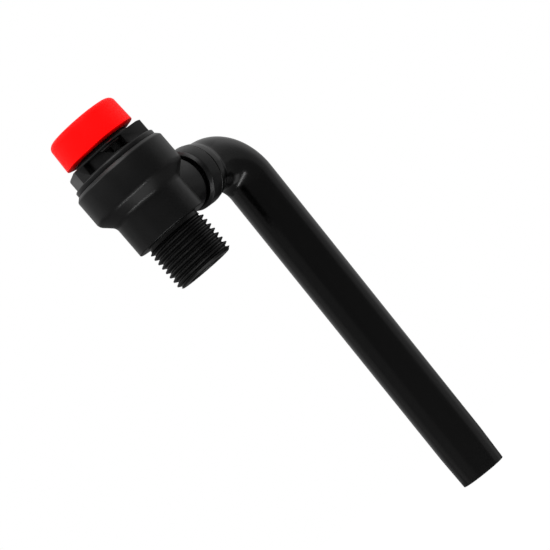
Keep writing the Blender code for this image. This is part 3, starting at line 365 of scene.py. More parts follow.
class StemSizes(bpy.types.PropertyGroup):
    """What shows of the stem: the screw in the knob and the disc behind the inlet."""

    washer_low: length("Knob Washer", "Height of the knob washer's underside", 0.0587)
    washer_thickness: length("Knob Washer Thickness", "Thickness of the knob washer", 0.0005)
    head_low: length("Knob Screw Head", "Height of the knob screw's head", 0.05935)
    head_radius: length("Knob Screw Head Radius", "Radius of the head", 0.0023)
    head_height: length("Knob Screw Head Height", "Height of the head", 0.0012)
    screw_radius: length("Knob Screw Radius", "Radius of the screw", 0.0011)
    screw_length: length("Knob Screw Length", "Length under the head", 0.0065)
    disc_low: length("Disc Face", "Height of the closing disc's face", DISC_LOW.z)
    disc_top: length("Disc Back", "Height of the closing disc's back", DISC_HIGH.z)
    disc_radius: length("Disc Radius", "Radius of the closing disc", DISC_HIGH.x)
    disc_hole: length("Disc Hole", "Radius of the hole through the disc", 0.0016)
    disc_washer_low: length("Disc Washer", "Height of the disc washer's face", 0.0268)
    disc_washer_top: length("Disc Washer Back", "Height of the disc washer's back", 0.0274)
    disc_washer_radius: length("Disc Washer Radius", "Radius of the disc washer", 0.0050)
    disc_head_low: length("Disc Screw Head", "Height of the disc screw's head", 0.0253)
    disc_head_top: length("Disc Screw Head Back", "Height of the head's back", 0.0265)
    disc_head_radius: length("Disc Screw Head Radius", "Radius of the disc screw's head", 0.0028)
    disc_screw_radius: length("Disc Screw Radius", "Radius of the disc screw", 0.0013)
    disc_screw_top: length("Disc Screw Top", "Height of the disc screw's end", 0.0342)
    cross_width: length("Cross Width", "Width of a cross recess's slots", 0.0006)
    cross_depth: length("Cross Depth", "Depth of a cross recess", 0.0008)
    spring_seat: length("Spring Seat", "Height of the spring's fixed upper end", 0.0513)
    diaphragm_clamp: length("Diaphragm Clamp", "Height of the top of the diaphragm's clamped rim", 0.0370)


class Finishes(bpy.types.PropertyGroup):
    """Colours of the mouldings, the rubber and the metals."""

    nylon: colour("Black Nylon", "Body, bonnet and collar", "#050505")
    nylon_light: colour("Worn Nylon", "Lighter mottling of the nylon", "#080809")
    acetal: colour("Black Acetal", "Cam ring, slip ring and clip", "#060606")
    pipe: colour("Black Polypropylene", "Discharge pipe", "#030303")
    red: colour("Red Plastic", "Test knob", "#fe0000")
    rubber: colour("Rubber", "Disc, diaphragm and sealing rings", "#171717")
    brass: colour("Brass", "Spindle, holder and adjuster", "#d9b56a")
    steel: colour("Steel", "Screws, washers, plates and spring", "#c6c6c8")


class StageSettings(bpy.types.PropertyGroup):
    """Camera, lamps and floor."""

    azimuth: angle("Azimuth", "Camera's direction round the valve's axis", -48.0)
    elevation: angle("Elevation", "Camera's height over the valve, below it when negative", -2.4)
    roll_x: bpy.props.FloatProperty(
        name="Axis Across", description="How far the valve's axis runs left in the picture", default=0.6534
    )
    roll_y: bpy.props.FloatProperty(
        name="Axis Up", description="How far the valve's axis runs up in the picture", default=0.7570
    )
    aim_side: length("Aim Sideways", "Picture's middle to the right of the valve's axis", 0.01497, -1.0)
    aim_height: length("Aim Height", "Picture's middle along the valve's axis", -0.01538, -1.0)
    distance: length("Distance", "Camera's distance from the valve", 1.0553, 0.1, 10.0)
    floor_drop: length("Floor Drop", "Height of the floor under the valve", -0.55, -2.0)
    white: colour("Backdrop", "Colour of the floor and backdrop", "#f7f7f7")


class ValveSettings(bpy.types.PropertyGroup):
    """All sizes and colours of the relief valve."""

    surface: bpy.props.PointerProperty(type=FineSurface)
    nipple: bpy.props.PointerProperty(type=NippleSizes)
    body: bpy.props.PointerProperty(type=BodySizes)
    outlet: bpy.props.PointerProperty(type=OutletSizes)
    bonnet: bpy.props.PointerProperty(type=BonnetSizes)
    cam: bpy.props.PointerProperty(type=CamSizes)
    knob: bpy.props.PointerProperty(type=KnobSizes)
    collar: bpy.props.PointerProperty(type=CollarSizes)
    pipe: bpy.props.PointerProperty(type=PipeSizes)
    stem: bpy.props.PointerProperty(type=StemSizes)
    finish: bpy.props.PointerProperty(type=Finishes)
    stage: bpy.props.PointerProperty(type=StageSettings)


def add_node(tree, kind, inputs=None, settings=None, stops=()):
    """Adds a node with its settings.

    An input is a value, or a socket to link from. Stops are the places and colours of a colour ramp.
    """
    node = tree.nodes.new(kind)
    for name, value in (settings or {}).items():
        setattr(node, name, value)
    for name, value in (inputs or {}).items():
        if isinstance(value, bpy.types.NodeSocket):
            tree.links.new(value, node.inputs[name])
        else:
            node.inputs[name].default_value = value
    for number, (position, tint) in enumerate(stops):
        stop = node.color_ramp.elements[number]
        stop.position = position
        stop.color = (*tint, 1.0)
    return node


def new_material(name):
    """An empty node material and its tree."""
    made = bpy.data.materials.new(name)
    made.use_nodes = True
    made.node_tree.nodes.clear()
    return made, made.node_tree


def grey(value):
    return (value, value, value)


def shade(factor, base):
    """A colour made lighter or darker by a factor."""
    return tuple(factor * part for part in base)


def across(millimetres):
    """Scale of a pattern whose features are this many millimetres across."""
    return 1000.0 / millimetres


def give_skin(tree, height, strength, depth, inputs):
    """Gives a material its relief, and its shader with the other inputs."""
    relief = add_node(tree, "ShaderNodeBump", {"Height": height, "Strength": strength, "Distance": depth})
    skin = add_node(tree, "ShaderNodeBsdfPrincipled", {**inputs, "Normal": relief.outputs["Normal"]})
    add_node(tree, "ShaderNodeOutputMaterial", {"Surface": skin.outputs["BSDF"]})


def moulded_black(name, dark, light, roughness, spread, ior, grain):
    """Black moulded thermoplastic: a fine eroded tool surface that scatters light softly.

    Patches of about 6 mm are a shade lighter where the melt cooled first. The grain is drawn at 0.3 mm
    or more, coarser than the real 0.05 mm, so that it shows.
    """
    made, tree = new_material(name)
    place = add_node(tree, "ShaderNodeTexCoord").outputs["Object"]
    patches = add_node(tree, "ShaderNodeTexNoise", {"Vector": place, "Scale": across(6.25), "Detail": 4.0})
    mottle = add_node(
        tree, "ShaderNodeValToRGB", {"Fac": patches.outputs["Fac"]}, stops=((0.35, dark), (0.75, light))
    )
    fine = add_node(tree, "ShaderNodeTexNoise", {"Vector": place, "Scale": across(grain), "Detail": 3.0})
    rough = add_node(
        tree,
        "ShaderNodeValToRGB",
        {"Fac": fine.outputs["Fac"]},
        stops=((0.3, grey(roughness)), (0.7, grey(roughness + spread))),
    )
    inputs = {"Base Color": mottle.outputs["Color"], "Roughness": rough.outputs["Color"], "IOR": ior}
    give_skin(tree, fine.outputs["Fac"], 0.35, GRAIN_DEPTH, inputs)
    return made


def glass_filled_nylon(finish):
    """Polyamide with glass fibre, moulded matt: a soft, slightly grey black."""
    return moulded_black("glass_filled_nylon", finish.nylon, finish.nylon_light, 0.30, 0.07, 1.5, 0.3)


def acetal_resin(finish):
    """Acetal, moulded smooth: a slippery black with a tighter sheen than the nylon."""
    return moulded_black("acetal_resin", finish.acetal, finish.nylon, 0.26, 0.06, 1.48, 0.4)


def moulded_polypropylene(finish):
    """Polypropylene pipe from a polished tool: waxy black, with long soft reflections down its length.

    The melt's flow marks are about 2.4 mm wide and its waves 9 mm, and both are drawn out along the leg.
    """
    made, tree = new_material("moulded_polypropylene")
    place = add_node(tree, "ShaderNodeTexCoord").outputs["Object"]
    stretched = add_node(tree, "ShaderNodeMapping", {"Vector": place, "Scale": (1.0, 1.0, 0.12)})
    drawn = stretched.outputs["Vector"]
    flow = add_node(tree, "ShaderNodeTexNoise", {"Vector": drawn, "Scale": across(2.381), "Detail": 3.0})
    rough = add_node(
        tree, "ShaderNodeValToRGB", {"Fac": flow.outputs["Fac"]}, stops=((0.3, grey(0.18)), (0.7, grey(0.22)))
    )
    waves = add_node(tree, "ShaderNodeTexNoise", {"Vector": drawn, "Scale": across(9.091), "Detail": 1.0})
    tint = add_node(
        tree,
        "ShaderNodeValToRGB",
        {"Fac": waves.outputs["Fac"]},
        stops=((0.3, finish.pipe), (0.8, shade(1.5, finish.pipe))),
    )
    inputs = {"Base Color": tint.outputs["Color"], "Roughness": rough.outputs["Color"], "IOR": 1.49}
    give_skin(tree, waves.outputs["Fac"], 0.05, 0.00002, inputs)
    return made


def red_moulding(finish):
    """Signal-red polyamide cap: full saturated colour under a smooth satin skin.

    The moulding's faint waves are about 5 mm long, and its grain 0.4 mm.
    """
    made, tree = new_material("red_moulding")
    place = add_node(tree, "ShaderNodeTexCoord").outputs["Object"]
    waves = add_node(tree, "ShaderNodeTexNoise", {"Vector": place, "Scale": across(5.263), "Detail": 2.0})
    tint = add_node(
        tree,
        "ShaderNodeValToRGB",
        {"Fac": waves.outputs["Fac"]},
        stops=((0.3, shade(0.93, finish.red)), (0.7, finish.red)),
    )
    fine = add_node(tree, "ShaderNodeTexNoise", {"Vector": place, "Scale": across(0.3846), "Detail": 2.0})
    rough = add_node(
        tree, "ShaderNodeValToRGB", {"Fac": fine.outputs["Fac"]}, stops=((0.3, grey(0.34)), (0.7, grey(0.40)))
    )
    inputs = {"Base Color": tint.outputs["Color"], "Roughness": rough.outputs["Color"], "IOR": 1.14}
    give_skin(tree, fine.outputs["Fac"], 0.15, 0.00001, inputs)
    return made


def moulded_rubber(finish):
    """EPDM rubber: flat black with a dusty bloom in patches of 2 mm."""
    made, tree = new_material("moulded_rubber")
    place = add_node(tree, "ShaderNodeTexCoord").outputs["Object"]
    bloom = add_node(tree, "ShaderNodeTexNoise", {"Vector": place, "Scale": across(2.0), "Detail": 5.0})
    tint = add_node(
        tree,
        "ShaderNodeValToRGB",
        {"Fac": bloom.outputs["Fac"]},
        stops=((0.4, finish.rubber), (0.8, shade(1.9, finish.rubber))),
    )
    inputs = {"Base Color": tint.outputs["Color"], "Roughness": 0.78, "IOR": 1.5}
    give_skin(tree, bloom.outputs["Fac"], 0.3, 0.00003, inputs)
    return made


def turned_metal(name, base, roughness, spacing):
    """Bar stock turned on a lathe: bright, with fine tool rings round the valve's axis.

    The rings' spacing is in millimetres. Stains of about 3 mm darken the metal a little.
    """
    made, tree = new_material(name)
    place = add_node(tree, "ShaderNodeTexCoord").outputs["Object"]
    rings = add_node(
        tree,
        "ShaderNodeTexWave",
        {"Vector": place, "Scale": across(spacing * math.tau), "Distortion": 1.5, "Detail": 2.0},
        {"wave_type": "RINGS", "rings_direction": "Z"},
    )
    stain = add_node(tree, "ShaderNodeTexNoise", {"Vector": place, "Scale": across(3.3333), "Detail": 4.0})
    tint = add_node(
        tree,
        "ShaderNodeValToRGB",
        {"Fac": stain.outputs["Fac"]},
        stops=((0.3, shade(0.82, base)), (0.8, base)),
    )
    rough = add_node(
        tree,
        "ShaderNodeValToRGB",
        {"Fac": rings.outputs["Fac"]},
        stops=((0.2, grey(roughness)), (0.8, grey(roughness + 0.12))),
    )
    inputs = {"Base Color": tint.outputs["Color"], "Metallic": 1.0, "Roughness": rough.outputs["Color"]}
    give_skin(tree, rings.outputs["Fac"], 0.2, 0.00001, inputs)
    return made


def turned_brass(finish):
    """Brass bar, turned: warm yellow with rings every 0.2 mm."""
    return turned_metal("turned_brass", finish.brass, 0.22, 0.2)


def stainless_steel(finish):
    """Stainless steel, turned or pressed: bright grey with rings every 0.15 mm."""
    return turned_metal("stainless_steel", finish.steel, 0.24, 0.15)


MAKERS = {
    "black_nylon": glass_filled_nylon,
    "black_acetal": acetal_resin,
    "black_polypropylene": moulded_polypropylene,
    "red_plastic": red_moulding,
    "rubber": moulded_rubber,
    "brass": turned_brass,
    "steel": stainless_steel,
}


def finish_for(slot, settings):
    """The material of a slot of the record, made once."""
    key = "finish_" + slot
    scene = bpy.context.scene
    if key not in scene:
        scene[key] = MAKERS[slot](settings.finish).name
    return bpy.data.materials[scene[key]]


def reshade(piece, sharp=CARVED_SHARP):
    """Shades a piece smooth, except at the edges that stay sharp."""
    piece.data.shade_smooth()
    piece.data.set_sharp_from_angle(angle=math.radians(sharp))


def add_piece(name, mesh, sharp=TURNED_SHARP):
    """A piece of a finished bmesh, at the origin and with its place in its mesh."""
    data = bpy.data.meshes.new(name)
    mesh.to_mesh(data)
    mesh.free()
    piece = bpy.data.objects.new(name, data)
    reshade(piece, sharp)
    bpy.context.scene.collection.objects.link(piece)
    return piece


def seat(piece, body, node, slot, settings):
    """The piece stands for its solid, moves with its body and takes its slot's finish."""
    piece.data.materials.clear()
    piece.data.materials.append(finish_for(slot, settings))
    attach(piece, body)
    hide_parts(node)


def rotate(mesh, turned_by, axis):
    """Turns a whole bmesh about an axis through the origin."""
    matrix = Matrix.Rotation(turned_by, 3, axis)
    bmesh.ops.rotate(mesh, verts=mesh.verts[:], cent=(0.0, 0.0, 0.0), matrix=matrix)


def shift(mesh, move):
    bmesh.ops.translate(mesh, verts=mesh.verts[:], vec=move)


def block(size, centre):
    """A bmesh of a plain block."""
    mesh = bmesh.new()
    bmesh.ops.create_cube(mesh, size=1.0)
    bmesh.ops.scale(mesh, verts=mesh.verts[:], vec=size)
    shift(mesh, centre)
    return mesh


def round_off(mesh, geom, offset, segments, affect="EDGES"):
    """Rounds some edges or corners of a bmesh."""
    bmesh.ops.bevel(
        mesh,
        geom=geom,
        offset=offset,
        offset_type="OFFSET",
        affect=affect,
        segments=segments,
        profile=0.5,
        material=-1,
    )


def turn(outline, around, corner_steps=1):
    """A bmesh turned about Z from a half section, given as (radius, height, rounding) corners in order."""
    mesh = bmesh.new()
    corners = [mesh.verts.new((radius, 0.0, height)) for radius, height, rounding in outline]
    mesh.faces.new(corners)
    for corner, (radius, height, rounding) in zip(corners, outline):
        if rounding > SQUARE:
            round_off(mesh, [corner], rounding, corner_steps, affect="VERTICES")
    bmesh.ops.delete(mesh, geom=mesh.faces[:], context="FACES_ONLY")
    on_axis = [edge for edge in mesh.edges if max(end.co.x for end in edge.verts) < MERGE]
    if on_axis:
        bmesh.ops.delete(mesh, geom=on_axis, context="EDGES")
    bmesh.ops.spin(
        mesh,
        geom=mesh.verts[:] + mesh.edges[:],
        cent=(0.0, 0.0, 0.0),
        axis=(0.0, 0.0, 1.0),
        angle=math.tau,
        steps=around,
        use_merge=True,
    )
    bmesh.ops.remove_doubles(mesh, verts=mesh.verts[:], dist=MERGE)
    bmesh.ops.recalc_face_normals(mesh, faces=mesh.faces[:])
    return mesh


def swing_about_outlet(mesh, height, swivel):
    """Turns a bmesh by the swivel, and lifts it to the outlet's axis."""
    rotate(mesh, swivel, "X")
    shift(mesh, (0.0, 0.0, height))


def lay_along_outlet(mesh, height, swivel=0.0):
    """Turns a bmesh from the Z axis to the outlet's axis, and about that axis by the swivel."""
    rotate(mesh, math.pi / 2, "Y")
    swing_about_outlet(mesh, height, swivel)
    return mesh


def settle_modifiers(piece):
    """Applies a piece's modifiers to its mesh."""
    bpy.context.view_layer.update()
    graph = bpy.context.evaluated_depsgraph_get()
    made = bpy.data.meshes.new_from_object(piece.evaluated_get(graph))
    old = piece.data
    piece.modifiers.clear()
    piece.data = made
    bpy.data.meshes.remove(old)


def carve(piece, tool, operation):
    """Joins or cuts with a tool piece, which is then removed."""
    modifier = piece.modifiers.new(tool.name, "BOOLEAN")
    modifier.operation = operation
    modifier.object = tool
    modifier.solver = "EXACT"
    settle_modifiers(piece)
    bpy.data.objects.remove(tool)


def soften(piece, width, segments, limit=38.0):
    """Rounds a piece's sharp edges a little."""
    modifier = piece.modifiers.new("soft_edges", "BEVEL")
    modifier.width = width
    modifier.segments = segments
    modifier.limit_method = "ANGLE"
    modifier.angle_limit = math.radians(limit)
    modifier.miter_outer = "MITER_ARC"
    modifier.use_clamp_overlap = True
    settle_modifiers(piece)


def threaded_rod(sizes, around):
    """A rod with a right-hand thread: one pitch of its outline, spun up the helix and cut level."""
    root = sizes.radius - sizes.depth
    pitch = sizes.pitch
    root_half = pitch / 12
    crest_half = 0.7 * root_half
    eased_half = 1.3 * root_half
    eased = sizes.radius - 0.06 * sizes.depth
    outline = [
        (root, 0.0),
        (root, root_half),
        (eased, pitch / 2 - eased_half),
        (sizes.radius, pitch / 2 - crest_half),
        (sizes.radius, pitch / 2 + crest_half),
        (eased, pitch / 2 + eased_half),
        (root, pitch - root_half),
        (root, pitch),
    ]
    turns_below = 2
    turns = math.ceil(sizes.reach / pitch) + turns_below + 1
    mesh = bmesh.new()
    points = [mesh.verts.new((radius, 0.0, height - turns_below * pitch)) for radius, height in outline]
    for first, second in zip(points, points[1:]):
        mesh.edges.new((first, second))
    bmesh.ops.spin(
        mesh,
        geom=mesh.verts[:] + mesh.edges[:],
        cent=(0.0, 0.0, 0.0),
        axis=(0.0, 0.0, 1.0),
        dvec=(0.0, 0.0, pitch / around),
        angle=math.tau * turns,
        steps=around * turns,
        use_merge=False,
    )
    bmesh.ops.remove_doubles(mesh, verts=mesh.verts[:], dist=THREAD_MERGE)
    for height, upward in ((0.0, -1.0), (sizes.reach, 1.0)):
        cut = bmesh.ops.bisect_plane(
            mesh,
            geom=mesh.verts[:] + mesh.edges[:] + mesh.faces[:],
            dist=MERGE,
            plane_co=(0.0, 0.0, height),
            plane_no=(0.0, 0.0, upward),
            clear_outer=True,
        )
        rim = [item for item in cut["geom_cut"] if isinstance(item, bmesh.types.BMEdge)]
        bmesh.ops.edgeloop_fill(mesh, edges=rim)
    bmesh.ops.recalc_face_normals(mesh, faces=mesh.faces[:])
    return add_piece("thread_rod", mesh)


class RELIEFVALVE_OT_body(bpy.types.Operator):
    """Models the body: threaded inlet, tapered shell, the nozzle inside and the outlet with its spigot"""

    bl_idname = "relief_valve.body"
    bl_label = "Body"

    def execute(self, context):
        settings = context.scene.relief_valve
        nipple, body, outlet, surface = settings.nipple, settings.body, settings.outlet, settings.surface
        rod = threaded_rod(nipple, surface.thread)
        envelope = [
            (0.0, 0.0, SQUARE),
            (nipple.radius - nipple.chamfer, 0.0, CRISP),
            (nipple.radius + OVERLAP, nipple.chamfer, SQUARE),
            (nipple.radius + OVERLAP, nipple.reach - nipple.depth * RUN_OUT, SQUARE),
            (nipple.radius - nipple.depth, nipple.reach, SQUARE),
            (0.0, nipple.reach, SQUARE),
        ]
        carve(rod, add_piece("nipple_ends", turn(envelope, surface.turned, surface.corner)), "INTERSECT")
        shell = [
            (0.0, nipple.reach - CUT_MARGIN, SQUARE),
            (nipple.relief - INSET, nipple.reach - CUT_MARGIN, SQUARE),
            (nipple.relief, nipple.reach - OVERLAP, SQUARE),
            (nipple.relief, body.shoulder, nipple.relief_rounding),
            (body.lower_radius, body.shoulder, body.shoulder_rounding),
            (body.lower_radius, body.cone_start, body.soft_edge),
            (body.upper_radius, body.cone_end, body.soft_edge),
            (body.upper_radius, body.top - body.rim_bevel, SOFT),
            (body.upper_radius - body.rim_bevel, body.top, EASED),
            (0.0, body.top, SQUARE),
        ]
        piece = add_piece("body_moulding", turn(shell, surface.turned, surface.corner))
        carve(piece, rod, "UNION")
        boss = turn(self.boss(outlet), surface.bore, corner_steps=3)
        carve(piece, add_piece("outlet_boss", lay_along_outlet(boss, outlet.height)), "UNION")
        cavity = [
            (0.0, -CUT_MARGIN, SQUARE),
            (nipple.bore + MOUTH_CHAMFER + CUT_MARGIN, -CUT_MARGIN, SQUARE),
            (nipple.bore, MOUTH_CHAMFER, CRISP),
            (nipple.bore, body.seat, CRISP),
            (nipple.bore + body.lip, body.seat, CRISP),
            (body.nozzle_radius, body.seat - SEAT_FALL, CRISP),
            (body.nozzle_radius, body.floor, ROUNDED),
            (body.chamber_radius, body.floor, BROAD),
            (body.chamber_radius, body.chamber_step, SQUARE),
            (body.wide_radius, body.chamber_step, EASED),
            (body.wide_radius, body.ledge, CRISP),
            (body.mouth_radius, body.ledge, SQUARE),
            (body.mouth_radius, body.top + CUT_MARGIN, SQUARE),
            (0.0, body.top + CUT_MARGIN, SQUARE),
        ]
        carve(piece, add_piece("body_cavity", turn(cavity, surface.bore, corner_steps=2)), "DIFFERENCE")
        way_out = [
            (0.0, outlet.bore_start, SQUARE),
            (outlet.bore, outlet.bore_start, SQUARE),
            (outlet.bore, outlet.spigot_end + CUT_MARGIN, SQUARE),
            (0.0, outlet.spigot_end + CUT_MARGIN, SQUARE),
        ]
        bore = lay_along_outlet(turn(way_out, surface.small), outlet.height)
        carve(piece, add_piece("outlet_way", bore), "DIFFERENCE")
        reshade(piece)
        seat(piece, "housing", "valve_body", "black_nylon", settings)
        return {"FINISHED"}

    def boss(self, outlet):
        """Half section of the boss and of the spigot with its three grooves."""
        section = [
            (0.0, 0.0, SQUARE),
            (outlet.boss_radius, 0.0, SQUARE),
            (outlet.boss_radius, outlet.boss_reach, SOFT),
            (outlet.spigot_radius, outlet.boss_reach, EASED),
            (outlet.spigot_radius, outlet.clip_start, SQUARE),
            (outlet.clip_floor, outlet.clip_start, SQUARE),
            (outlet.clip_floor, outlet.clip_end, SQUARE),
            (outlet.spigot_radius, outlet.clip_end, SQUARE),
        ]
        for middle in (outlet.first_groove, outlet.first_groove + outlet.groove_pitch):
            start, end = middle - outlet.groove_width / 2, middle + outlet.groove_width / 2
            section += [
                (outlet.spigot_radius, start, CRISP),
                (outlet.groove_radius, start, SQUARE),
                (outlet.groove_radius, end, SQUARE),
                (outlet.spigot_radius, end, CRISP),
            ]
        section.append((outlet.spigot_radius, outlet.spigot_end, SOFT))
        section.append((0.0, outlet.spigot_end, SQUARE))
        return section


def swept_block(name, inner, outer, low, high, start, sweep, count, rise=0.0):
    """A block with a square section, swept about Z by an angle and raised by a rise on its way."""
    mesh = bmesh.new()
    corners = [(inner, low), (outer, low), (outer, high), (inner, high)]
    points = [mesh.verts.new((radius, 0.0, height)) for radius, height in corners]
    section = mesh.faces.new(points)
    rotate(mesh, start, "Z")
    rim = section.edges[:]
    swept = bmesh.ops.spin(
        mesh,
        geom=points + rim,
        cent=(0.0, 0.0, 0.0),
        axis=(0.0, 0.0, 1.0),
        dvec=(0.0, 0.0, rise / count),
        angle=sweep,
        steps=count,
        use_merge=False,
    )
    last = [item for item in swept["geom_last"] if isinstance(item, bmesh.types.BMEdge)]
    bmesh.ops.edgeloop_fill(mesh, edges=last)
    bmesh.ops.recalc_face_normals(mesh, faces=mesh.faces[:])
    return add_piece(name, mesh)


def thirds(first):
    """The three directions that a feature is repeated at."""
    return [first + math.tau * number / 3 for number in range(3)]


def ramp_tool(name, bonnet, foot, inner, outer, raised):
    """A cam ramp with its level crest, deep enough to stand in the floor, raised by a clearance."""
    deep = bonnet.crown_floor - 3 * CUT_MARGIN
    low_top = bonnet.crown_floor + NUDGE + raised
    slope = swept_block(name, inner, outer, deep, low_top, foot, -bonnet.ramp_arc, RAMP_STEPS, bonnet.lift)
    crest = swept_block(
        name + "_crest",
        inner,
        outer,
        deep + bonnet.lift,
        low_top + bonnet.lift,
        foot - bonnet.ramp_arc,
        -bonnet.crest_arc,
        CREST_STEPS,
    )
    carve(slope, crest, "UNION")
    return slope


class RELIEFVALVE_OT_bonnet(bpy.types.Operator):
    """Models the bonnet: flange, guard with two windows, cam crown and the tower round the spring"""

    bl_idname = "relief_valve.bonnet"
    bl_label = "Bonnet"

    def execute(self, context):
        settings = context.scene.relief_valve
        bonnet, surface = settings.bonnet, settings.surface
        outside = [
            (0.0, bonnet.foot, SQUARE),
            (bonnet.spigot_radius, bonnet.foot, SOFT),
            (bonnet.spigot_radius, bonnet.flange_low, SQUARE),
            (bonnet.flange_radius, bonnet.flange_low, CRISP),
            (bonnet.flange_radius, bonnet.flange_top, ROUNDED),
            (bonnet.tower_radius, bonnet.flange_top, SQUARE),
            (bonnet.tower_radius, bonnet.tower_top, SOFT),
            (0.0, bonnet.tower_top, SQUARE),
        ]
        piece = add_piece("bonnet_moulding", turn(outside, surface.turned, corner_steps=3))
        guard = self.hexagon(bonnet)
        corner = bonnet.hexagon_radius + CORNER_CLEARANCE
        peak = bonnet.guard_top + TOP_CLEARANCE
        nut_chamfer = [
            (0.0, bonnet.flange_low, SQUARE),
            (corner, bonnet.flange_low, SQUARE),
            (corner, bonnet.guard_top - bonnet.corner_chamfer, SQUARE),
            (corner - 2.0 * bonnet.corner_chamfer, peak, SQUARE),
            (0.0, peak, SQUARE),
        ]
        carve(guard, add_piece("nut_chamfer", turn(nut_chamfer, surface.turned)), "INTERSECT")
        carve(piece, guard, "UNION")
        trench = [
            (bonnet.tower_radius, bonnet.crown_floor, SQUARE),
            (bonnet.guard_inner, bonnet.crown_floor, EASED),
            (bonnet.guard_inner, bonnet.guard_top + CUT_MARGIN, SQUARE),
            (bonnet.tower_radius, bonnet.guard_top + CUT_MARGIN, SQUARE),
        ]
        carve(piece, add_piece("crown_trench", turn(trench, surface.turned, corner_steps=2)), "DIFFERENCE")
        for number, middle in enumerate((bonnet.window_turn, bonnet.window_turn + math.pi)):
            window = swept_block(
                f"window_{number}",
                bonnet.guard_inner - INSET,
                bonnet.hexagon_radius + CUT_MARGIN,
                bonnet.crown_floor,
                bonnet.window_top,
                middle - bonnet.window_arc / 2,
                bonnet.window_arc,
                RAMP_STEPS,
            )
            carve(piece, window, "DIFFERENCE")
        soften(piece, bonnet.edge, segments=2)
        for number, foot in enumerate(thirds(bonnet.ramp_foot)):
            inner = bonnet.tower_radius - INSET
            outer = bonnet.guard_inner + RAMP_OVERLAP
            ramp = ramp_tool(f"crown_ramp_{number}", bonnet, foot, inner, outer, 0.0)
            carve(piece, ramp, "UNION")
        for part in self.crest_wall(bonnet):
            carve(piece, part, "UNION")
        cavity = [
            (0.0, bonnet.foot - CUT_MARGIN, SQUARE),
            (bonnet.pocket_radius, bonnet.foot - CUT_MARGIN, SQUARE),
            (bonnet.pocket_radius, bonnet.pocket_top, ROUNDED),
            (bonnet.spring_bore, bonnet.pocket_top, SQUARE),
            (bonnet.spring_bore, bonnet.tower_top + CUT_MARGIN, SQUARE),
            (0.0, bonnet.tower_top + CUT_MARGIN, SQUARE),
        ]
        carve(piece, add_piece("bonnet_cavity", turn(cavity, surface.bore, corner_steps=2)), "DIFFERENCE")
        reshade(piece)
        seat(piece, "housing", "bonnet", "black_nylon", settings)
        return {"FINISHED"}

    def crest_wall(self, bonnet):
        """The thin wall in the first window, over the level crest, and its slope down to the ramp."""
        inner = bonnet.guard_inner - bonnet.wall_thickness
        outer = bonnet.guard_inner + 2 * OVERLAP
        deep = bonnet.crown_floor - 4 * OVERLAP
        high = bonnet.window_top + OVERLAP
        start = bonnet.window_turn - bonnet.window_arc / 2 + bonnet.wall_gap
        level = swept_block("crest_wall", inner, outer, deep, high, start, bonnet.wall_arc, WALL_STEPS)
        fall = bonnet.crown_floor - bonnet.window_top
        slope_start = start + bonnet.wall_arc - ARC_OVERLAP
        sweep = bonnet.wall_slope
        slope = swept_block(
            "crest_slope", inner, outer, deep, high, slope_start, sweep, WALL_SLOPE_STEPS, fall
        )
        return level, slope

    def hexagon(self, bonnet):
        """The six-sided guard before its windows are cut, with its corners eased."""
        mesh = bmesh.new()
        low = bonnet.flange_top - CUT_MARGIN
        bmesh.ops.create_cone(
            mesh,
            cap_ends=True,
            segments=6,
            radius1=bonnet.hexagon_radius,
            radius2=bonnet.hexagon_radius,
            depth=bonnet.guard_top - low,
        )
        shift(mesh, (0.0, 0.0, (low + bonnet.guard_top) / 2))
        sixth = math.tau / 6
        first = min(mesh.verts, key=lambda vert: (-vert.co.z, math.atan2(vert.co.y, vert.co.x) % sixth))
        rotate(mesh, bonnet.hexagon_turn - math.atan2(first.co.y, first.co.x), "Z")
        upright = [edge for edge in mesh.edges if abs(edge.verts[0].co.z - edge.verts[1].co.z) > CUT_MARGIN]
        round_off(mesh, upright, bonnet.corner_rounding, segments=3)
        return add_piece("hexagon", mesh)


class RELIEFVALVE_OT_cam(bpy.types.Operator):
    """Models the cam ring under the knob, with its three lugs and its keys"""

    bl_idname = "relief_valve.cam"
    bl_label = "Cam Ring"

    def execute(self, context):
        settings = context.scene.relief_valve
        cam, bonnet, surface = settings.cam, settings.bonnet, settings.surface
        ring = [
            (cam.inner, cam.flange_low, SQUARE),
            (cam.outer, cam.flange_low, CRISP),
            (cam.outer, cam.flange_top, CRISP),
            (cam.sleeve, cam.flange_top, CRISP),
            (cam.sleeve, cam.top, SOFT),
            (cam.inner, cam.top, EASED),
        ]
        piece = add_piece("cam_ring", turn(ring, surface.turned, corner_steps=3))
        for number, foot in enumerate(thirds(bonnet.ramp_foot)):
            lug = swept_block(
                f"lug_{number}",
                cam.inner + surface.fine_fit,
                cam.outer - surface.fine_fit,
                bonnet.crown_floor + surface.fit,
                cam.flange_low + DEEP_OVERLAP,
                foot - cam.lug_overhang,
                cam.lug_arc,
                RAMP_STEPS,
            )
            inner = cam.inner - CUT_MARGIN
            outer = cam.outer + CUT_MARGIN
            clearance = ramp_tool(f"lug_clearance_{number}", bonnet, foot, inner, outer, surface.fit)
            carve(lug, clearance, "DIFFERENCE")
            soften(lug, cam.lug_edge, segments=2)
            carve(piece, lug, "UNION")
        for number, place in enumerate(thirds(cam.key_turn)):
            low = settings.knob.low + surface.fit
            key = key_block(f"key_{number}", cam, place, low, cam.top - surface.fit, 0.0)
            carve(piece, key, "UNION")
        reshade(piece)
        seat(piece, "knob_set", "lifting_cam", "black_acetal", settings)
        return {"FINISHED"}


def key_block(name, cam, place, low, high, clearance):
    """A key of the cam ring or, with a clearance, the slot in the knob that takes it."""
    inner = cam.sleeve - DEEP_OVERLAP
    outer = cam.sleeve + cam.key_depth + clearance
    size = (outer - inner, cam.key_width + 2 * clearance, high - low)
    mesh = block(size, ((inner + outer) / 2, 0.0, (low + high) / 2))
    rotate(mesh, place, "Z")
    return add_piece(name, mesh)


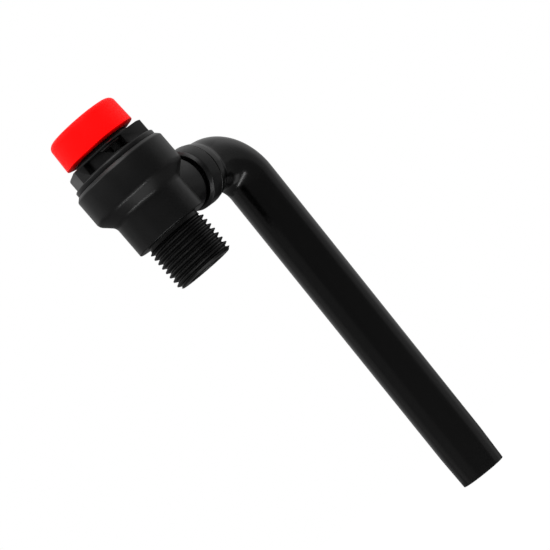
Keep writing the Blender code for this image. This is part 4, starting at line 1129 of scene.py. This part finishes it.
class RELIEFVALVE_OT_knob(bpy.types.Operator):
    """Models the red test knob with its conical underside, sharp lip, rounded shoulder and screw recess"""

    bl_idname = "relief_valve.knob"
    bl_label = "Test Knob"

    def execute(self, context):
        settings = context.scene.relief_valve
        knob, cam, surface = settings.knob, settings.cam, settings.surface
        rim = knob.top - knob.crown
        side_top = knob.radius - knob.draft
        outline = [
            (knob.bore, knob.low, CRISP),
            (knob.foot_radius, knob.low, knob.foot_rounding),
            (knob.radius, knob.low + knob.bevel_height, knob.lip_rounding),
            (side_top, rim + SHOULDER_RISE, knob.shoulder),
            (knob.recess_radius, knob.top, SOFT),
            (knob.recess_radius, knob.recess_floor, SOFT),
            (knob.hole_radius, knob.recess_floor, SQUARE),
            (knob.hole_radius, knob.hub_low, SQUARE),
            (knob.hub_radius, knob.hub_low, SOFT),
            (knob.hub_radius, knob.ceiling, FULL),
            (knob.bore, knob.ceiling, FULL),
        ]
        piece = add_piece("test_knob", turn(outline, surface.knob, corner_steps=8))
        for number, place in enumerate(thirds(cam.key_turn)):
            slot = key_block(f"key_slot_{number}", cam, place, knob.low - CUT_MARGIN, cam.top, surface.fit)
            carve(piece, slot, "DIFFERENCE")
        reshade(piece)
        seat(piece, "knob_set", "knob", "red_plastic", settings)
        return {"FINISHED"}


class RELIEFVALVE_OT_collar(bpy.types.Operator):
    """Models the collar that holds the pipe on its spigot"""

    bl_idname = "relief_valve.collar"
    bl_label = "Retaining Collar"

    def execute(self, context):
        settings = context.scene.relief_valve
        collar, outlet, surface = settings.collar, settings.outlet, settings.surface
        outline = [
            (collar.mouth, collar.start, EASED),
            (collar.radius - collar.chamfer, collar.start, EASED),
            (collar.radius, collar.start + collar.chamfer_length, SOFT),
            (collar.radius, collar.end, EASED),
            (collar.inner, collar.end, CRISP),
            (collar.inner, collar.start + collar.lip, SQUARE),
            (collar.throat, collar.start + collar.lip, CRISP),
            (collar.throat, collar.start + collar.lip / 2, CRISP),
        ]
        mesh = lay_along_outlet(turn(outline, surface.turned, surface.corner), outlet.height, outlet.swivel)
        piece = add_piece("pipe_collar", mesh)
        seat(piece, "pipe_set", "retaining_collar", "black_nylon", settings)
        return {"FINISHED"}


class RELIEFVALVE_OT_pipe(bpy.types.Operator):
    """Models the discharge pipe: flared socket, tight elbow and a long leg that narrows to its open end"""

    bl_idname = "relief_valve.pipe"
    bl_label = "Discharge Pipe"

    def execute(self, context):
        settings = context.scene.relief_valve
        pipe, outlet = settings.pipe, settings.outlet
        mesh = self.socket(pipe, settings.surface)
        self.draw_walls(mesh, pipe)
        self.close_end(mesh, pipe)
        bmesh.ops.recalc_face_normals(mesh, faces=mesh.faces[:])
        swing_about_outlet(mesh, outlet.height, outlet.swivel)
        piece = add_piece("pipe_moulding", mesh, CARVED_SHARP)
        seat(piece, "pipe_set", "discharge_pipe", "black_polypropylene", settings)
        return {"FINISHED"}

    def socket(self, pipe, surface):
        """The straight stretch on the outlet's axis, turned from a closed section and opened at the elbow."""
        outline = [
            (pipe.socket_radius, pipe.nose, EASED),
            (pipe.nose_radius, pipe.nose, SOFT),
            (pipe.nose_radius, pipe.shoulder, SQUARE),
            (pipe.flare_radius, pipe.shoulder, ROUNDED),
            (pipe.flare_radius - pipe.flare_draft, pipe.shoulder + pipe.flare_length, FULL),
            (pipe.neck_radius + NECK_SWELL, pipe.neck - NECK_SETBACK, pipe.neck_rounding),
            (pipe.neck_radius, pipe.elbow, SQUARE),
            (pipe.bore, pipe.elbow, SQUARE),
            (pipe.bore, pipe.socket_end, EASED),
            (pipe.socket_radius, pipe.socket_end, SQUARE),
        ]
        mesh = turn(outline, surface.bore, corner_steps=6)
        at_elbow = [face for face in mesh.faces if min(vert.co.z for vert in face.verts) > pipe.elbow - MERGE]
        bmesh.ops.delete(mesh, geom=at_elbow, context="FACES")
        rotate(mesh, math.pi / 2, "Y")
        return mesh

    def stations(self, pipe):
        """Each ring after the socket: its move from the last one, its centre, and its two radii."""
        hub = Vector((pipe.elbow, 0.0, -pipe.elbow_radius))
        quarter = math.pi / 2
        step = Matrix.Rotation(quarter / ELBOW_STEPS, 4, "Y")
        turn_on = Matrix.Translation(hub) @ step @ Matrix.Translation(-hub)
        for bend in range(1, ELBOW_STEPS + 1):
            share = bend / ELBOW_STEPS
            outward = Vector((math.sin(quarter * share), 0.0, math.cos(quarter * share)))
            outer = pipe.neck_radius + (pipe.radius - pipe.neck_radius) * share
            yield turn_on, hub + pipe.elbow_radius * outward, outer, pipe.bore
        foot = hub + Vector((pipe.elbow_radius, 0.0, 0.0))
        total = pipe.drop - pipe.elbow_radius
        leg = total - pipe.tip_length
        spans = (
            (0.0, leg, pipe.radius, pipe.tip_radius, LEG_STEPS),
            (leg, total, pipe.tip_radius, pipe.end_radius, TIP_STEPS),
        )
        for start, end, first, last, count in spans:
            draw_down = Matrix.Translation((0.0, 0.0, (start - end) / count))
            for number in range(1, count + 1):
                down = start + (end - start) * number / count
                outer = first + (last - first) * number / count
                inner = pipe.bore + (pipe.end_bore - pipe.bore) * down / total
                yield draw_down, foot - Vector((0.0, 0.0, down)), outer, inner

    def draw_walls(self, mesh, pipe):
        """Both walls drawn on from the socket's rim, round the elbow and down the narrowing leg."""
        outer, inner = pipe.neck_radius, pipe.bore
        for move, centre, next_outer, next_inner in self.stations(pipe):
            rim = [edge for edge in mesh.edges if edge.is_boundary]
            made = bmesh.ops.extrude_edge_only(mesh, edges=rim)["geom"]
            moved = [item for item in made if isinstance(item, bmesh.types.BMVert)]
            bmesh.ops.transform(mesh, matrix=move, verts=moved)
            middle = (outer + inner) / 2
            for was, becomes, outside in ((outer, next_outer, True), (inner, next_inner, False)):
                bmesh.ops.scale(
                    mesh,
                    verts=[vert for vert in moved if ((vert.co - centre).length > middle) == outside],
                    vec=(becomes / was,) * 3,
                    space=Matrix.Translation(-centre),
                )
            outer, inner = next_outer, next_inner

    def close_end(self, mesh, pipe):
        """The open end, closed between its walls and eased at both edges."""
        rim = [edge for edge in mesh.edges if edge.is_boundary]
        bmesh.ops.bridge_loops(mesh, edges=rim)
        at_end = {vert for vert in mesh.verts if abs(vert.co.z + pipe.drop) < END_MERGE}
        flat = [edge for edge in mesh.edges if at_end.issuperset(edge.verts)]
        lips = [edge for edge in flat if abs(edge.calc_face_angle(0.0)) > FOLD]
        round_off(mesh, lips, pipe.end_edge, segments=3)


def cross_recess(name, width, reach, low, high):
    """The tool that cuts a cross recess: two crossed bars."""
    bars = []
    for number, (long_x, long_y) in enumerate(((reach, width), (width, reach))):
        mesh = block((long_x, long_y, high - low), (0.0, 0.0, (low + high) / 2))
        bars.append(add_piece(f"{name}_{number}", mesh))
    carve(bars[0], bars[1], "UNION")
    return bars[0]


class RELIEFVALVE_OT_stem(bpy.types.Operator):
    """Models the knob's screw and washer, and the screw, washer and rubber disc behind the inlet"""

    bl_idname = "relief_valve.stem"
    bl_label = "Screws and Disc"

    def execute(self, context):
        settings = context.scene.relief_valve
        stem, knob, surface = settings.stem, settings.knob, settings.surface
        pilot = stem.screw_radius + surface.fine_fit
        rim = knob.recess_radius - surface.fine_fit
        top = stem.washer_low + stem.washer_thickness
        washer = self.ring("screw_washer", pilot, rim, stem.washer_low, top, CRISP, settings)
        seat(washer, "stem", "knob_washer", "steel", settings)
        self.knob_screw(stem, settings)
        self.disc_screw(stem, settings)
        hole = stem.disc_hole
        low, top = stem.disc_washer_low, stem.disc_washer_top
        washer = self.ring("inlet_washer", hole, stem.disc_washer_radius, low, top, CRISP, settings)
        seat(washer, "stem", "disc_washer", "steel", settings)
        low, top = stem.disc_low, stem.disc_top
        disc = self.ring("closing_disc", hole, stem.disc_radius, low, top, EASED, settings)
        seat(disc, "stem", "seat_disc", "rubber", settings)
        return {"FINISHED"}

    def ring(self, name, inner, outer, low, high, lower_edge, settings):
        """A flat ring, whose outer edges are eased."""
        outline = [
            (inner, low, SQUARE),
            (outer, low, lower_edge),
            (outer, high, CRISP),
            (inner, high, SQUARE),
        ]
        return add_piece(name, turn(outline, settings.surface.small, corner_steps=3))

    def knob_screw(self, stem, settings):
        top = stem.head_low + stem.head_height
        outline = [
            (0.0, stem.head_low - stem.screw_length, SQUARE),
            (stem.screw_radius, stem.head_low - stem.screw_length, EASED),
            (stem.screw_radius, stem.head_low, SQUARE),
            (stem.head_radius, stem.head_low, CRISP),
            (stem.head_radius, top, BROAD),
            (0.0, top, SQUARE),
        ]
        piece = add_piece("crown_screw", turn(outline, settings.surface.small, corner_steps=5))
        reach = stem.head_radius * CROSS_REACH
        tool = cross_recess("crown_cross", stem.cross_width, reach, top - stem.cross_depth, top + CUT_MARGIN)
        carve(piece, tool, "DIFFERENCE")
        reshade(piece)
        seat(piece, "stem", "knob_screw", "steel", settings)

    def disc_screw(self, stem, settings):
        outline = [
            (0.0, stem.disc_head_low, SQUARE),
            (stem.disc_head_radius, stem.disc_head_low, BROAD),
            (stem.disc_head_radius, stem.disc_head_top, CRISP),
            (stem.disc_screw_radius, stem.disc_head_top, SQUARE),
            (stem.disc_screw_radius, stem.disc_screw_top, EASED),
            (0.0, stem.disc_screw_top, SQUARE),
        ]
        piece = add_piece("inlet_screw", turn(outline, settings.surface.small, corner_steps=5))
        low = stem.disc_head_low
        reach = stem.disc_head_radius * CROSS_REACH
        width = stem.cross_width * WIDE_CROSS
        tool = cross_recess("inlet_cross", width, reach, low - CUT_MARGIN, low + stem.cross_depth)
        carve(piece, tool, "DIFFERENCE")
        reshade(piece)
        seat(piece, "stem", "disc_screw", "steel", settings)


class RELIEFVALVE_OT_soft_parts(bpy.types.Operator):
    """Copies the coil spring and the rolling diaphragm from their solids as pieces of their own, with their
    finishes
    """

    bl_idname = "relief_valve.soft_parts"
    bl_label = "Spring and Diaphragm"

    def execute(self, context):
        settings = context.scene.relief_valve
        stem = settings.stem
        parts = (
            ("coil_spring", "spring", "steel", stem.spring_seat),
            ("rolling_diaphragm", "diaphragm", "rubber", stem.diaphragm_clamp),
        )
        for name, node, slot, fixed in parts:
            solid = frame["nodes"][node]
            piece = bpy.data.objects.new(name, solid.data.copy())
            piece.matrix_world = solid.matrix_world.copy()
            piece.data.materials.clear()
            context.scene.collection.objects.link(piece)
            seat(piece, "housing", node, slot, settings)
            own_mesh(piece)
        return {"FINISHED"}


class RELIEFVALVE_OT_inner_finishes(bpy.types.Operator):
    """Gives the solids that stay as they are, inside the valve, their finishes"""

    bl_idname = "relief_valve.inner_finishes"
    bl_label = "Inner Pieces"

    def execute(self, context):
        settings = context.scene.relief_valve
        slots = {row["node"]: row["material_slot"] for row in frame["record"]["subparts"]}
        for name, node in frame["nodes"].items():
            if node.hide_render:
                continue
            node.data.materials.clear()
            node.data.materials.append(finish_for(slots[name], settings))
        return {"FINISHED"}


def soft_lamp(name, place, target, size, power):
    """A square soft box that faces its target."""
    lamp = bpy.data.lights.new(name, "AREA")
    lamp.shape = "RECTANGLE"
    lamp.size, lamp.size_y = size
    lamp.energy = power
    holder = bpy.data.objects.new(name, lamp)
    holder.location = place
    holder.rotation_mode = "QUATERNION"
    holder.rotation_quaternion = (target - place).to_track_quat("-Z", "Y")
    bpy.context.scene.collection.objects.link(holder)


class RELIEFVALVE_OT_stage(bpy.types.Operator):
    """Sets up the camera at the photograph's angle, the soft lamps, the floor and the white surroundings"""

    bl_idname = "relief_valve.stage"
    bl_label = "Camera, Lamps and Floor"

    def execute(self, context):
        settings = context.scene.relief_valve
        stage = settings.stage
        side, upward, back = self.view_axes(stage)
        right = side * stage.roll_y - upward * stage.roll_x
        up = side * stage.roll_x + upward * stage.roll_y
        aim = side * stage.aim_side + Vector((0.0, 0.0, stage.aim_height))
        self.camera(context, aim + back * stage.distance, right, up, back)
        self.lamps(aim, side, upward, back)
        self.floor(stage)
        self.surroundings(context, side, upward, back)
        context.scene.view_settings.view_transform = "Standard"
        return {"FINISHED"}

    def view_axes(self, stage):
        """Directions to the viewer's side, up the picture before it is rolled, and back to the viewer."""
        a, e = stage.azimuth, stage.elevation
        side = Vector((math.cos(a), math.sin(a), 0.0))
        back = Vector((math.sin(a) * math.cos(e), -math.cos(a) * math.cos(e), math.sin(e)))
        return side, back.cross(side), back

    def camera(self, context, place, right, up, back):
        lens = bpy.data.cameras.new("photo_camera")
        lens.sensor_width = SENSOR_WIDTH
        lens.lens = FOCAL_PIXELS / PHOTO_WIDTH * SENSOR_WIDTH
        lens.clip_start = 0.05
        lens.clip_end = 50.0
        holder = bpy.data.objects.new("photo_camera", lens)
        holder.matrix_world = Matrix.Translation(place) @ Matrix((right, up, back)).transposed().to_4x4()
        context.scene.collection.objects.link(holder)
        context.scene.camera = holder

    def lamps(self, aim, side, upward, back):
        """Soft boxes above, a panel at the left, strips at the sides for the rims, and two dim ones below.

        Each is given by its place from the aim, its size and its power.
        """
        lamps = [
            ("top_lamp", upward * 1.3 + back * 0.15, (0.65, 0.9), 2.8),
            ("top_front_lamp", upward * 0.95 + back * 0.9, (0.8, 0.8), 3.6),
            ("top_left_lamp", upward * 0.9 - side * 0.9 + back * 0.3, (0.8, 0.8), 2.4),
            ("left_panel", back * 0.75 - side * 1.1, (1.0, 2.0), 0.5),
            ("left_strip", -side * 1.3 - back * 0.1, (0.6, 1.6), 0.42),
            ("right_strip", side * 1.3 - back * 0.1, (0.6, 1.6), 0.5),
            ("right_back_strip", side * 1.1 - back * 0.7, (0.6, 1.6), 0.5),
            ("low_lamp", back * 0.34 - side * 0.1 - upward * 0.47, (0.8, 0.09), 1.2),
            ("under_lamp", -upward * 0.46, (0.3, 0.3), 0.2),
        ]
        for name, offset, size, power in lamps:
            soft_lamp(name, aim + offset, aim, size, power)

    def floor(self, stage):
        """A wide floor far below, which shows white.

        Its paint is dark and its glow is faint for reflections, so that the blacks stay black.
        """
        mesh = bmesh.new()
        bmesh.ops.create_grid(mesh, x_segments=1, y_segments=1, size=12.0)
        shift(mesh, (0.0, 0.0, stage.floor_drop))
        floor = add_piece("floor", mesh)
        made, tree = new_material("pale_floor")
        paint = add_node(tree, "ShaderNodeBsdfDiffuse", {"Color": (*grey(0.05), 1.0)})
        strength = self.brightness(tree, reflected=0.05, lit=0.6)
        glow = add_node(tree, "ShaderNodeEmission", {"Color": (*stage.white, 1.0), "Strength": strength})
        both = add_node(tree, "ShaderNodeAddShader", {0: paint.outputs["BSDF"], 1: glow.outputs["Emission"]})
        add_node(tree, "ShaderNodeOutputMaterial", {"Surface": both.outputs["Shader"]})
        floor.data.materials.append(made)

    def brightness(self, tree, reflected, lit):
        """White where it is seen, directly or through glass, with its own strength in gloss and as light."""
        kinds = {
            "Is Camera Ray": 1.0,
            "Is Transmission Ray": 1.0,
            "Is Glossy Ray": reflected,
            "Is Diffuse Ray": lit,
        }
        path = add_node(tree, "ShaderNodeLightPath")
        greatest = 0.0
        for kind, strength in kinds.items():
            shown = add_node(
                tree, "ShaderNodeMath", {0: path.outputs[kind], 1: strength}, {"operation": "MULTIPLY"}
            ).outputs["Value"]
            greatest = add_node(
                tree, "ShaderNodeMath", {0: shown, 1: greatest}, {"operation": "MAXIMUM"}
            ).outputs["Value"]
        return greatest

    def surroundings(self, context, side, upward, back):
        """A white background, soft plain light, and a room that reflections see.

        The room is pale behind and above the valve, and nearly dark at its sides.
        """
        world = bpy.data.worlds.new("studio")
        world.use_nodes = True
        tree = world.node_tree
        tree.nodes.clear()
        direction = add_node(tree, "ShaderNodeTexCoord").outputs["Generated"]
        room = 0.0
        for wall, pallor in ((-back, 0.33), (upward, 0.38), (-side, 0.05), (side, 0.03)):
            toward = add_node(
                tree, "ShaderNodeVectorMath", {0: direction, 1: tuple(wall)}, {"operation": "DOT_PRODUCT"}
            ).outputs["Value"]
            pale = add_node(
                tree,
                "ShaderNodeMapRange",
                {"Value": toward, "From Min": -0.2, "From Max": 0.95, "To Min": 0.0, "To Max": pallor},
                {"interpolation_type": "SMOOTHSTEP"},
            ).outputs["Result"]
            room = add_node(tree, "ShaderNodeMath", {0: pale, 1: room}, {"operation": "ADD"}).outputs["Value"]
        strength = self.brightness(tree, reflected=room, lit=1.5)
        background = add_node(
            tree, "ShaderNodeBackground", {"Color": (*grey(1.0), 1.0), "Strength": strength}
        )
        add_node(tree, "ShaderNodeOutputWorld", {"Surface": background.outputs["Background"]})
        context.scene.world = world


PIECE_OPERATORS = (
    RELIEFVALVE_OT_body,
    RELIEFVALVE_OT_bonnet,
    RELIEFVALVE_OT_cam,
    RELIEFVALVE_OT_knob,
    RELIEFVALVE_OT_collar,
    RELIEFVALVE_OT_pipe,
    RELIEFVALVE_OT_stem,
    RELIEFVALVE_OT_soft_parts,
    RELIEFVALVE_OT_inner_finishes,
    RELIEFVALVE_OT_stage,
)


class RELIEFVALVE_PT_sidebar(bpy.types.Panel):
    """Lists the valve's pieces"""

    bl_label = "Relief Valve"
    bl_idname = "RELIEFVALVE_PT_sidebar"
    bl_space_type = "VIEW_3D"
    bl_region_type = "UI"
    bl_category = "Relief Valve"

    def draw(self, context):
        for operator in PIECE_OPERATORS:
            self.layout.operator(operator.bl_idname)


CLASSES = (
    FineSurface,
    NippleSizes,
    BodySizes,
    OutletSizes,
    BonnetSizes,
    CamSizes,
    KnobSizes,
    CollarSizes,
    PipeSizes,
    StemSizes,
    Finishes,
    StageSettings,
    ValveSettings,
    *PIECE_OPERATORS,
    RELIEFVALVE_PT_sidebar,
)


def register():
    for item in CLASSES:
        bpy.utils.register_class(item)
    bpy.types.Scene.relief_valve = bpy.props.PointerProperty(type=ValveSettings)


def unregister():
    del bpy.types.Scene.relief_valve
    for item in reversed(CLASSES):
        bpy.utils.unregister_class(item)


def main():
    register()
    bpy.ops.relief_valve.body()
    bpy.ops.relief_valve.bonnet()
    bpy.ops.relief_valve.cam()
    bpy.ops.relief_valve.knob()
    bpy.ops.relief_valve.collar()
    bpy.ops.relief_valve.pipe()
    bpy.ops.relief_valve.stem()
    bpy.ops.relief_valve.soft_parts()
    bpy.ops.relief_valve.inner_finishes()
    bpy.ops.relief_valve.stage()


if __name__ == "__main__":
    main()
